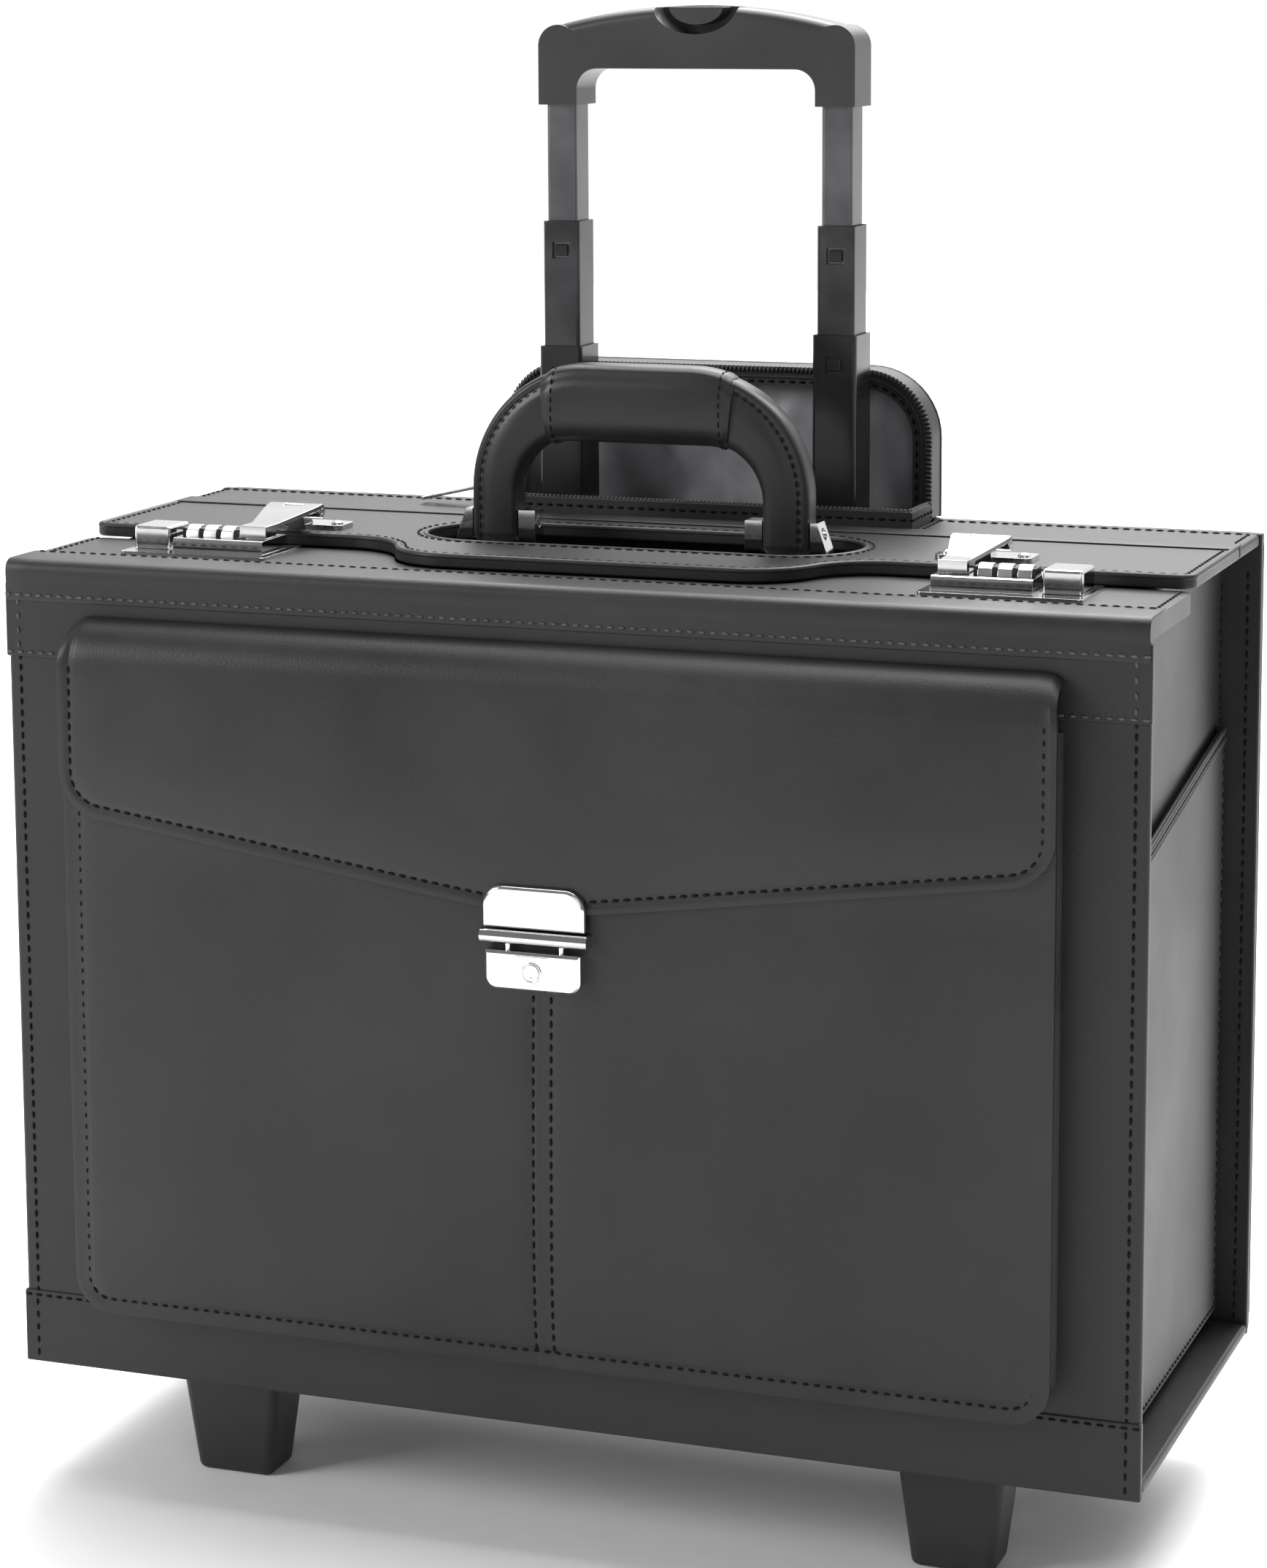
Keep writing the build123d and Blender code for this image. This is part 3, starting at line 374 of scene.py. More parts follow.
plain_steel = finish("plain steel", streak_group, {"Across": 900.0, "Along": 200.0},
                     grey(0.42), grey(0.5), (0.3, 0.42), 0.1, 0.03 * mm, **streaked, Metallic=1.0)
tube_metal = finish("gunmetal tube", streak_group, {"Across": 1500.0, "Along": 5.0},
                    grey(0.10, 1.06), grey(0.15, 1.06), (0.26, 0.36), 0.10, 0.03 * mm, **streaked,
                    Metallic=0.85)
dark_tube = finish("dark gunmetal tube", streak_group, {"Across": 1500.0, "Along": 5.0},
                   grey(0.045, 1.06), grey(0.075, 1.06), (0.24, 0.34), 0.10, 0.03 * mm, **streaked,
                   Metallic=0.8)
black_tube = finish("black tube", streak_group, {"Across": 1500.0, "Along": 5.0},
                    grey(0.02, 1.05), grey(0.035, 1.05), (0.16, 0.26), 0.08, 0.03 * mm, **streaked,
                    Metallic=0.5)
grip_plastic = finish("grip plastic", pebble_group, {"Cells": 2200.0, "Creases": 300.0, "Depth of creases": 0.3},
                      grey(0.022, 1.05), grey(0.032, 1.05), (0.30, 0.40), 0.15, 0.05 * mm)
foot_plastic = finish("foot plastic", pebble_group, {"Cells": 1500.0, "Creases": 200.0, "Depth of creases": 0.3},
                      grey(0.012), grey(0.02), (0.45, 0.6), 0.25, 0.08 * mm)
tyre_rubber = finish("tyre rubber", pebble_group, {"Cells": 1800.0, "Creases": 120.0, "Depth of creases": 0.5},
                     grey(0.015), grey(0.028), (0.65, 0.85), 0.3, 0.08 * mm)
zip_tape = finish("zip tape", weave_group, {"Threads": 5000.0},
                  grey(0.010), grey(0.018), (0.6, 0.8), 0.4, 0.08 * mm)
zip_teeth = finish("zip teeth", streak_group, {"Across": 900.0, "Along": 900.0},
                   grey(0.03), grey(0.06), (0.25, 0.4), 0.1, 0.03 * mm, **streaked)
lining_cloth = finish("lining cloth", weave_group, {"Threads": 3600.0},
                      grey(0.20, 1.08), grey(0.30, 1.08), (0.38, 0.55), 0.25, 0.05 * mm)
dark_ink = finish("filled numerals", streak_group, {"Across": 500.0, "Along": 500.0},
                  grey(0.01), grey(0.02), (0.5, 0.6), 0.1, 0.02 * mm, **streaked)
print("finishes:", len(bpy.data.materials))

# %% [markdown]
# ## Boards and fixed hard parts
# The boards are 5 mm thick and wrapped in leather, so their edges are nearly half round. Everything else that is
# rigid is dressed the same way, each with an edge that suits how it is made.

# %% Boards
for node in ("front_panel", "back_panel", "bottom_panel", "left_side_panel", "right_side_panel"):
    dress(node, 1.9 * mm, case_leather, segments=4)
for node in ("rear_deck", "rear_lid"):
    dress(node, 1.8 * mm, case_leather, segments=4)
front_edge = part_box("front_lid")[0].y
dress("front_lid", 1.6 * mm, case_leather, segments=4, wide=3.2 * mm,
      choose=lambda e: all(v.co.y < front_edge + 0.5 * mm for v in e.verts))
for node in ("centre_divider", "handle_board", "trolley_wall"):
    dress(node, 0.8 * mm, board_cover)

# %% Feet, wheels and trolley stages
for side in ("left", "right"):
    dress(f"{side}_foot", 2.5 * mm, foot_plastic, segments=4)
    dress(f"{side}_wheel_housing", 0.8 * mm, foot_plastic)
    dress(f"{side}_wheel_hub", 0.8 * mm, foot_plastic)
    dress(f"{side}_tyre", 2.0 * mm, tyre_rubber, segments=4)
dress("wheel_axles", 0.3 * mm, plain_steel)
dress("handle_pins", 0.3 * mm, plain_steel)


def upright(edge):
    """True for an outer edge of a tube that runs straight up."""
    a, b = edge.verts
    return abs(a.co.x - b.co.x) < 1e-6 and abs(a.co.y - b.co.y) < 1e-6 and edge.calc_length() > 0.1


dress("fixed_tubes", 0.2 * mm, black_tube)
for node, metal in (("lower_tubes", black_tube), ("middle_tubes", dark_tube), ("upper_tubes", tube_metal)):
    dress(node, 0.25 * mm, metal, choose=upright, wide=1.6 * mm)

# %% Chrome
chrome_edges = {
    "left_lock_housing": 0.3, "right_lock_housing": 0.3, "left_lock_button": 0.3, "right_lock_button": 0.3,
    "left_hasp_base": 0.35, "right_hasp_base": 0.35, "left_hasp": 0.4, "right_hasp": 0.4, "handle_brackets": 0.7,
    "flap_lock_plate": 0.5, "pocket_lock_body": 0.6, "lock_bar": 0.5, "key_cylinder": 0.15, "zip_slider": 0.5,
    "zip_pull": 0.3,
}
for node, width in chrome_edges.items():
    dress(node, width * mm, chrome)
for side in ("left", "right"):
    for number in (1, 2, 3):
        dress(f"{side}_dial_{number}", 0.25 * mm, dial_nickel, sharp=25)

# %% [markdown]
# ## Measures and paths
# All places come from the parts in the frame. Stitch rows follow the outlines of the parts' faces, a few
# millimetres in from the edge, as a sewing machine's foot would guide them.

# %% Boxes and outlines
low_of = {node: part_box(node)[0] for node in frame["nodes"]}
high_of = {node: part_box(node)[1] for node in frame["nodes"]}
front_y = low_of["front_panel"].y
panel_half = high_of["front_panel"].x
panel_low, panel_high = low_of["front_panel"].z, high_of["front_panel"].z


def face_outlines(node, normal):
    """Closed outlines of a part's furthest flat face along the normal, with the face on their left."""
    shape = bmesh.new()
    shape.from_mesh(frame["nodes"][node].data)
    bmesh.ops.remove_doubles(shape, verts=shape.verts, dist=0.01 * mm)
    normal = Vector(normal)
    faces = [f for f in shape.faces if f.normal.dot(normal) > 0.999]
    furthest = max(f.calc_center_median().dot(normal) for f in faces)
    follow = {}
    for face in faces:
        if face.calc_center_median().dot(normal) > furthest - 0.2 * mm:
            for loop in face.loops:
                a, b = loop.vert.index, loop.link_loop_next.vert.index
                if follow.get((b, a)):
                    del follow[(b, a)]
                else:
                    follow[(a, b)] = True
    after = {a: b for a, b in follow}
    shape.verts.ensure_lookup_table()
    outlines = []
    while after:
        start = next(iter(after))
        outline, here = [], start
        while here in after:
            outline.append(shape.verts[here].co.copy())
            here = after.pop(here)
        outlines.append(outline)
    shape.free()
    return sorted(outlines, key=len)


def dense(outline, step):
    """The same closed outline with points no further apart than the step."""
    points = []
    for a, b in zip(outline, outline[1:] + outline[:1]):
        count = max(1, math.ceil((b - a).length / step))
        points += [a.lerp(b, k / count) for k in range(count)]
    return points


def inset(outline, normal, distance, lift=0.0):
    """A closed outline moved to its left by the distance, and off the face by the lift."""
    normal = Vector(normal)
    points = []
    count = len(outline)
    for i, point in enumerate(outline):
        before = (point - outline[i - 1]).normalized()
        beyond = (outline[(i + 1) % count] - point).normalized()
        along = (before + beyond).normalized()
        points.append(point + normal.cross(along) * distance / max(0.5, along.dot(beyond)) + normal * lift)
    return points


def runs(points, keep):
    """The stretches of a closed outline whose points pass the test."""
    flags = [keep(point) for point in points]
    if all(flags):
        return [points + points[:1]]
    first = next(i for i, flag in enumerate(flags) if not flag)
    stretches, current = [], []
    for i in range(1, len(points) + 1):
        j = (first + i) % len(points)
        if flags[j]:
            current.append(points[j])
        elif current:
            stretches.append(current)
            current = []
    return [stretch for stretch in stretches if len(stretch) > 2]


def arch_points(half, low, high, corner, steps=12):
    """Points from the low left end of an arch, over the top and down to the low right end, on X and Z."""
    points = [(-half, low)]
    for k in range(steps + 1):
        angle = math.pi - math.pi / 2 * k / steps
        points.append((-half + corner + corner * math.cos(angle), high - corner + corner * math.sin(angle)))
    return points + [(-x, z) for x, z in reversed(points)]


def spread(low, high, marks, fine, coarse):
    """Numbers from low to high, closely spaced near the marks."""
    values, value = [low], low
    while value < high:
        near = min(abs(value - mark) for mark in marks)
        value += fine if near < 2.6 * mm else coarse
        values.append(min(value, high))
    return values


# %% [markdown]
# ## Rows of stitches and zip teeth
# Stitches and teeth are set out along curves by two small node trees: the curve is cut to the stitch pitch, one
# low-cost shape is put on each point along the curve's tangent, and the result is made real and given its finish.

# %% The node trees
def make_row_tree(name, shape_node, settings, numbers):
    """A geometry tree that puts one shape at every pitch along the curves that it is given."""
    tree = bpy.data.node_groups.new(name, "GeometryNodeTree")
    tree.interface.new_socket(name="Geometry", in_out="INPUT", socket_type="NodeSocketGeometry")
    for label, value in numbers:
        socket = tree.interface.new_socket(name=label, in_out="INPUT", socket_type="NodeSocketFloat")
        socket.default_value = value
    tree.interface.new_socket(name="Finish", in_out="INPUT", socket_type="NodeSocketMaterial")
    tree.interface.new_socket(name="Geometry", in_out="OUTPUT", socket_type="NodeSocketGeometry")
    entry, leave = tree.nodes.new("NodeGroupInput"), tree.nodes.new("NodeGroupOutput")
    cut = tree.nodes.new("GeometryNodeResampleCurve")
    cut.mode = "LENGTH"
    tree.links.new(entry.outputs["Geometry"], cut.inputs["Curve"])
    tree.links.new(entry.outputs["Pitch"], cut.inputs["Length"])
    tangent = tree.nodes.new("GeometryNodeInputTangent")
    align = tree.nodes.new("FunctionNodeAlignRotationToVector")
    align.axis = "X"
    tree.links.new(tangent.outputs[0], align.inputs["Vector"])
    shape = tree.nodes.new(shape_node)
    for label, value in settings.items():
        shape.inputs[label].default_value = value
    size = tree.nodes.new("ShaderNodeCombineXYZ")
    for axis, label in (("X", "Length"), ("Y", "Depth"), ("Z", "Width")):
        tree.links.new(entry.outputs[label], size.inputs[axis])
    scatter = tree.nodes.new("GeometryNodeInstanceOnPoints")
    tree.links.new(cut.outputs["Curve"], scatter.inputs["Points"])
    tree.links.new(shape.outputs["Mesh"], scatter.inputs["Instance"])
    tree.links.new(align.outputs["Rotation"], scatter.inputs["Rotation"])
    tree.links.new(size.outputs[0], scatter.inputs["Scale"])
    real = tree.nodes.new("GeometryNodeRealizeInstances")
    tree.links.new(scatter.outputs["Instances"], real.inputs["Geometry"])
    paint = tree.nodes.new("GeometryNodeSetMaterial")
    tree.links.new(real.outputs["Geometry"], paint.inputs["Geometry"])
    tree.links.new(entry.outputs["Finish"], paint.inputs["Material"])
    tree.links.new(paint.outputs["Geometry"], leave.inputs["Geometry"])
    return tree


stitch_tree = make_row_tree(
    "row of stitches", "GeometryNodeMeshUVSphere", {"Segments": 6, "Rings": 4, "Radius": 0.5},
    [("Pitch", 4.6 * mm), ("Length", 3.3 * mm), ("Depth", 0.9 * mm), ("Width", 0.9 * mm)],
)
tooth_tree = make_row_tree(
    "row of zip teeth", "GeometryNodeMeshCube", {"Size": (1.0, 1.0, 1.0)},
    [("Pitch", 1.9 * mm), ("Length", 1.1 * mm), ("Depth", 2.0 * mm), ("Width", 2.6 * mm)],
)


def row(name, tree, paths, body, slot, material, **numbers):
    """A mesh of shapes set out along open paths, riding one body."""
    curve = bpy.data.curves.new(name, "CURVE")
    curve.dimensions = "3D"
    for path in paths:
        spline = curve.splines.new("POLY")
        spline.points.add(len(path) - 1)
        for point, place_at in zip(spline.points, path):
            point.co = (*place_at, 1.0)
    piece = add_object(name, curve)
    setting = piece.modifiers.new("row", "NODES")
    setting.node_group = tree
    for item in tree.interface.items_tree:
        if item.item_type == "SOCKET" and item.in_out == "INPUT":
            if item.name in numbers:
                setting[item.identifier] = numbers[item.name]
            elif item.name == "Finish":
                setting[item.identifier] = material
    piece = settle(piece)
    piece.data.shade_smooth()
    return place(piece, body, slot, material)


def piping(name, paths, radius, body, slot, material, closed=False):
    """Round cord covered with leather, along the paths."""
    curve = bpy.data.curves.new(name, "CURVE")
    curve.dimensions = "3D"
    curve.bevel_depth = radius
    curve.bevel_resolution = 3
    curve.use_fill_caps = True
    for path in paths:
        spline = curve.splines.new("POLY")
        spline.points.add(len(path) - 1)
        for point, place_at in zip(spline.points, path):
            point.co = (*place_at, 1.0)
        spline.use_cyclic_u = closed
    piece = settle(add_object(name, curve))
    piece.data.shade_smooth()
    return place(piece, body, slot, material)


sewn = {}


def sew(body, finish_of_thread, *paths):
    """Remembers stitch paths; they are set out together, one mesh for each body and thread."""
    sewn.setdefault((body, finish_of_thread.name), []).extend(paths)


def block(name, low, high, round_edge, segments=3):
    """A box with rounded edges, as a mesh object."""
    shape = bmesh.new()
    bmesh.ops.create_cube(shape, size=1.0)
    for vertex in shape.verts:
        vertex.co = Vector([(a + b) / 2 + part * (b - a) for a, b, part in zip(low, high, vertex.co)])
    bmesh.ops.bevel(shape, geom=shape.edges, offset=round_edge, segments=segments, profile=0.5, affect="EDGES")
    mesh = bpy.data.meshes.new(name)
    shape.to_mesh(mesh)
    shape.free()
    piece = add_object(name, mesh)
    smooth(piece, 50)
    return weigh_normals(piece)


def merged(name, pieces):
    """Several mesh objects made into one."""
    shape = bmesh.new()
    for piece in pieces:
        shape.from_mesh(piece.data)
        bpy.data.objects.remove(piece)
    mesh = bpy.data.meshes.new(name)
    shape.to_mesh(mesh)
    shape.free()
    return add_object(name, mesh)


print("paths ready")

# %% [markdown]
# ## Leather bands on the front
# The leather hinge of the front lid is sewn over the top of the front board, and another strip closes the bottom.
# Both run round the board's edges. Grey thread holds the hinge; black thread is used lower down.

# %% Bands
hinge_low = panel_high - 31 * mm
foot_band = panel_low + 31 * mm
band_skin = 0.9 * mm
for name, low, high in (("front_hinge_band", hinge_low, panel_high - 0.3 * mm),
                        ("front_foot_band", panel_low - 0.3 * mm, foot_band)):
    band = block(name, (-panel_half - 0.5 * mm, front_y - band_skin, low),
                 (panel_half + 0.5 * mm, front_y + 3 * mm, high), 0.8 * mm)
    place(band, "case", "case_leather", case_leather)
seam_face = front_y - band_skin - 0.1 * mm
reach = panel_half - 1.5 * mm
sew("case", pale_thread, [(-reach, seam_face, hinge_low + 2 * mm), (reach, seam_face, hinge_low + 2 * mm)])
sew("case", thread, [(-reach, seam_face, foot_band - 2 * mm), (reach, seam_face, foot_band - 2 * mm)])


def strip(name, profile, half, thickness):
    """A sheet of leather along X whose section on Y and Z is the profile."""
    columns = [half * (i / 24 - 1) for i in range(49)]
    piece = from_rows(name, [[(x, y, z) for x in columns] for y, z in profile])
    shell = piece.modifiers.new("skin", "SOLIDIFY")
    shell.thickness, shell.offset = thickness, 0.0
    bevel = piece.modifiers.new("edge", "BEVEL")
    bevel.width, bevel.segments, bevel.angle_limit = 0.3 * mm, 2, math.radians(60)
    piece = settle(piece)
    face_outwards(piece)
    smooth(piece, 50)
    return piece


lid_top, lid_front = high_of["front_lid"].z, low_of["front_lid"].y
fold_y = min(lid_front, front_y) - 1.3 * mm
fold = [(front_y - 1.2 * mm, panel_high - 7.5 * mm), (fold_y, panel_high - 5.5 * mm),
        (fold_y, panel_high - 1 * mm), (fold_y, panel_high), (fold_y, panel_high + 1 * mm),
        (fold_y - 0.2 * mm, panel_high + 3.0 * mm)]
for k in range(7):
    angle = math.pi / 2 * k / 6
    fold.append((lid_front + 3.0 * mm - 4.4 * mm * math.cos(angle),
                 lid_top - 3.4 * mm + 4.2 * mm * math.sin(angle)))
fold += [(lid_front + 9 * mm, lid_top + 0.8 * mm), (lid_front + 16 * mm, lid_top + 0.8 * mm),
         (front_y + 24.5 * mm, lid_top + 0.7 * mm)]
hinge_fold = strip("front_lid_fold", fold, high_of["front_lid"].x + 0.6 * mm, 0.8 * mm)
place(hinge_fold, None, "case_leather", case_leather)
fold_row = (fold_y - 0.5 * mm, panel_high - 5 * mm)
sew("case", pale_thread, [(-reach, *fold_row), (reach, *fold_row)])
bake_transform(hinge_fold)
hinge_y = high_of["rear_lid"].y + 0.25 * mm
deck_top = high_of["rear_deck"].z + 0.35 * mm
rear_strip = strip("rear_lid_hinge_strip", [(hinge_y + k * mm, deck_top) for k in (-10, -6, -3, -1, 0, 1, 3, 6)],
                   high_of["rear_lid"].x - 0.3 * mm, 0.7 * mm)
place(rear_strip, None, "case_leather", case_leather)
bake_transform(rear_strip)
for side in (-1, 1):
    column = side * (panel_half - 5.5 * mm)
    sew("case", thread, [(column, front_y - 0.15 * mm, foot_band), (column, front_y - 0.15 * mm, hinge_low)])
    sew("case", pale_thread, [(column, seam_face, hinge_low + 5 * mm), (column, seam_face, panel_high - 8 * mm)])
    sew("case", thread, [(column, seam_face, panel_low + 4 * mm), (column, seam_face, foot_band - 5 * mm)])
print("bands from", round(hinge_low / mm), "up and", round(foot_band / mm), "down")

# %% [markdown]
# ## Seams on the lids
# The rear lid's skin is turned over a thin cord and sewn 4 mm in, all along its curved front, its ends and the
# oval opening for the handle. The front lid has one straight row that holds its reinforcement.

# %% Lid seams
up = (0, 0, 1)
lid_outlines = face_outlines("rear_lid", up)
rear_edge = high_of["rear_lid"].y - 6 * mm
for outline in lid_outlines:
    line = dense(outline, 3 * mm)
    sew("rear_lid", thread, *runs(inset(line, up, 4.2 * mm, 0.05 * mm), lambda p: p.y < rear_edge))
cord = runs(inset(dense(lid_outlines[-1], 3 * mm), up, 1.3 * mm, -0.7 * mm), lambda p: p.y < rear_edge + 4 * mm)
piping("rear_lid_cord", cord, 1.5 * mm, "rear_lid", "case_leather", case_leather)
oval = inset(dense(lid_outlines[0], 3 * mm), up, 1.1 * mm, -0.7 * mm)
piping("oval_cord", [oval], 1.3 * mm, "rear_lid", "case_leather", case_leather, closed=True)
lid_face = high_of["front_lid"].z + 0.1 * mm
lid_reach = high_of["front_lid"].x - 4 * mm
lid_row = (front_y + 22 * mm, lid_face + 1 * mm)
sew("front_lid", thread, [(-lid_reach, *lid_row), (lid_reach, *lid_row)])
for side in (-1, 1):
    column = side * lid_reach
    sew("front_lid", thread, [(column, front_y + 9 * mm, lid_face), (column, -24 * mm, lid_face)])
print("outlines on the rear lid:", [len(outline) for outline in lid_outlines])

# %% [markdown]
# ## Front pocket
# A soft front piece and a folding gusset, sewn together inside out and then turned, so that the front has a
# rounded edge with a row of stitches. The two halves meet in a lapped seam below the lock. Full pockets swell
# most low down.

# %% Pocket front
pocket_half = high_of["front_pocket"].x
pocket_low, pocket_high = low_of["front_pocket"].z, high_of["front_pocket"].z
pocket_face = low_of["front_pocket"].y
pocket_corner = 16 * mm
seam_in = 6.5 * mm
lap_low, lap_high = -2.0 * mm, 5.5 * mm


def edge_distance(x, z):
    """How far inside the pocket front's sewn edge a point is; the top edge does not count."""
    side, bottom = pocket_half - abs(x), z - pocket_low
    if side < pocket_corner and bottom < pocket_corner:
        return pocket_corner - math.hypot(pocket_corner - side, pocket_corner - bottom)
    return min(side, bottom)


def dip(distance, depth, width):
    """A smooth groove, deepest where the distance is nought."""
    return depth * math.exp(-((distance / width) ** 2))


def pocket_surface(x, z):
    """Y of the pocket's front: swollen, pulled in at its seams, and with slow uneven dents."""
    inside = edge_distance(x, z)
    level = (z - pocket_low) / (pocket_high - pocket_low)
    fullness = max(0.0, 1 - level / 0.72) ** 0.8
    swell = 5.5 * mm * (1 - math.exp(-max(inside, 0) / (30 * mm))) * fullness
    dent = 1.2 * mm * noise.noise(Vector((x * 9, z * 12, 3.1))) * min(1, max(inside, 0) / (30 * mm)) * fullness
    y = pocket_face - swell + dent + dip(inside - seam_in, 0.9 * mm, 1.6 * mm)
    if z < low_of["pocket_lock_body"].z:
        across = x - (lap_low + lap_high) / 2
        y += dip(across, 1.3 * mm, 7 * mm) - 0.5 * mm * math.exp(-((across / (4.2 * mm)) ** 6))
        y += dip(x - lap_low, 0.5 * mm, 0.9 * mm) + dip(x - lap_high, 0.4 * mm, 0.9 * mm)
    return y


def pocket_front():
    """The sewn front of the pocket, with its corners rounded at the bottom."""
    sides = [-pocket_half + seam_in, pocket_half - seam_in, lap_low, lap_high, -pocket_half, pocket_half]
    levels = spread(pocket_low, pocket_high, [pocket_low + seam_in, pocket_low], 0.9 * mm, 4.5 * mm)
    columns = spread(-pocket_half, pocket_half, sides, 0.9 * mm, 5 * mm)
    rows = []
    for z in levels:
        drop = max(0.0, pocket_corner - (z - pocket_low))
        half = pocket_half - pocket_corner + math.sqrt(max(pocket_corner ** 2 - drop ** 2, 0))
        squeeze = [x * half / pocket_half for x in columns] if drop else columns
        rows.append([(x, pocket_surface(x, z), z) for x in squeeze])
    piece = from_rows("pocket_front_leather", rows)
    shell = piece.modifiers.new("skin", "SOLIDIFY")
    shell.thickness, shell.offset = 2.6 * mm, -1.0
    bevel = piece.modifiers.new("edge", "BEVEL")
    bevel.width, bevel.segments, bevel.angle_limit = 1.0 * mm, 3, math.radians(50)
    return settle(piece)


front_leather = pocket_front()
face_outwards(front_leather)
smooth(front_leather, 60)
place(front_leather, "case", "case_leather", soft_leather, "front_pocket")
print("pocket front:", len(front_leather.data.polygons), "faces")

# %% Gusset
def pocket_gusset():
    """A folding strip from the case to the pocket's front, creased inwards along its middle."""
    line = [(x, pocket_low + pocket_high - z) for x, z in
            arch_points(pocket_half - 1.6 * mm, pocket_low, pocket_high - 1.6 * mm, pocket_corner - 1.6 * mm)]
    points = [Vector((x, 0, z)) for x, z in line]
    long = []
    for a, b in zip(points, points[1:]):
        count = max(1, math.ceil((b - a).length / (6 * mm)))
        long += [a.lerp(b, k / count) for k in range(count)]
    long.append(points[-1])
    back, front = front_y + 0.5 * mm, pocket_face + 2.2 * mm
    rows = []
    for i, point in enumerate(long):
        along = (long[min(i + 1, len(long) - 1)] - long[max(i - 1, 0)]).normalized()
        inward = Vector((0, 1, 0)).cross(along)
        if inward.dot(Vector((0, 0, (pocket_low + pocket_high) / 2)) - point) < 0:
            inward = -inward
        sag = 4.2 * mm + 1.1 * mm * noise.noise(point * 30)
        rows.append([point + inward * sag * math.sin(math.pi * k / 8) ** 1.4
                     + Vector((0, back + (front - back) * k / 8, 0)) for k in range(9)])
    piece = from_rows("pocket_gusset_leather", rows)
    shell = piece.modifiers.new("skin", "SOLIDIFY")
    shell.thickness, shell.offset = 1.2 * mm, 0.0
    return settle(piece)


gusset = pocket_gusset()
face_outwards(gusset)
smooth(gusset, 50)
place(gusset, "case", "case_leather", soft_leather)


def on_pocket(path, lift=0.15 * mm):
    """Lays a path of X and Z on the pocket's front."""
    return [(x, pocket_surface(x, z) - lift, z) for x, z in path]


def subdivide(path, step=3 * mm):
    """An open path of X and Z with points no further apart than the step."""
    points = []
    for (x0, z0), (x1, z1) in zip(path, path[1:]):
        count = max(1, math.ceil(math.hypot(x1 - x0, z1 - z0) / step))
        points += [(x0 + (x1 - x0) * k / count, z0 + (z1 - z0) * k / count) for k in range(count)]
    return points + [path[-1]]


edge_row = [(x, pocket_low + pocket_high - z) for x, z in
            arch_points(pocket_half - seam_in, pocket_low, pocket_high - seam_in, pocket_corner - seam_in)]
sew("case", thread, on_pocket(subdivide(edge_row)))
lap_top = low_of["pocket_lock_body"].z
for x in (lap_low, lap_high):
    sew("case", thread, on_pocket(subdivide([(x, pocket_low + seam_in + 2 * mm), (x, lap_top)])))

# %% [markdown]
# ## Pocket flap
# One thick piece, folded over the pocket's mouth and cut to a blunt point in front. It is turned over at its
# edge and sewn 5 mm in; the upper corners are rounded where it dives behind.

# %% Flap
flap_half = high_of["pocket_flap"].x
flap_tip, flap_top = low_of["pocket_flap"].z, high_of["pocket_flap"].z
flap_face = low_of["pocket_flap"].y
flap_side = flap_tip + 29 * mm
flap_bend = flap_top - 18.6 * mm
flap_corner = 17 * mm
flap_seam = 5 * mm
flap_hem = 10 * mm
flap_lock_clear = 19 * mm
slope = (flap_side - flap_tip) / flap_half
steep = math.sqrt(1 + slope * slope)


def flap_edge(x, within=0.0):
    """Z of the flap's lower edge at X, or of a line a little within it."""
    half, corner = flap_half - within, flap_corner - within
    flat = abs(x)
    soft_tip = 3 * mm * math.exp(-flat / (8 * mm))
    z = flap_tip + slope * flat + within * steep + soft_tip
    over = flat - (half - corner)
    if over > 0:
        z += corner - math.sqrt(max(corner ** 2 - min(over, corner) ** 2, 0))
    return z


def flap_inside(x, z):
    """How far a point lies inside the flap's sewn edge."""
    side = flap_half - abs(x)
    bottom = (z - flap_tip - slope * abs(x)) / steep
    if side < flap_corner and bottom < flap_corner:
        return flap_corner - math.hypot(flap_corner - side, flap_corner - bottom)
    return min(side, bottom)


def flap_surface(x, z):
    """Y of the flap's front face below its bend."""
    inside = flap_inside(x, z)
    fall = (flap_bend - z) / (flap_bend - flap_tip)
    swell = 1.6 * mm * math.sin(math.pi * min(1, max(0, fall)) ** 0.8) * min(1, max(inside, 0) / (20 * mm))
    dent = 0.5 * mm * noise.noise(Vector((x * 8, z * 14, 7.7)))
    return flap_face - swell + dent + dip(inside - flap_seam, 0.8 * mm, 1.5 * mm)


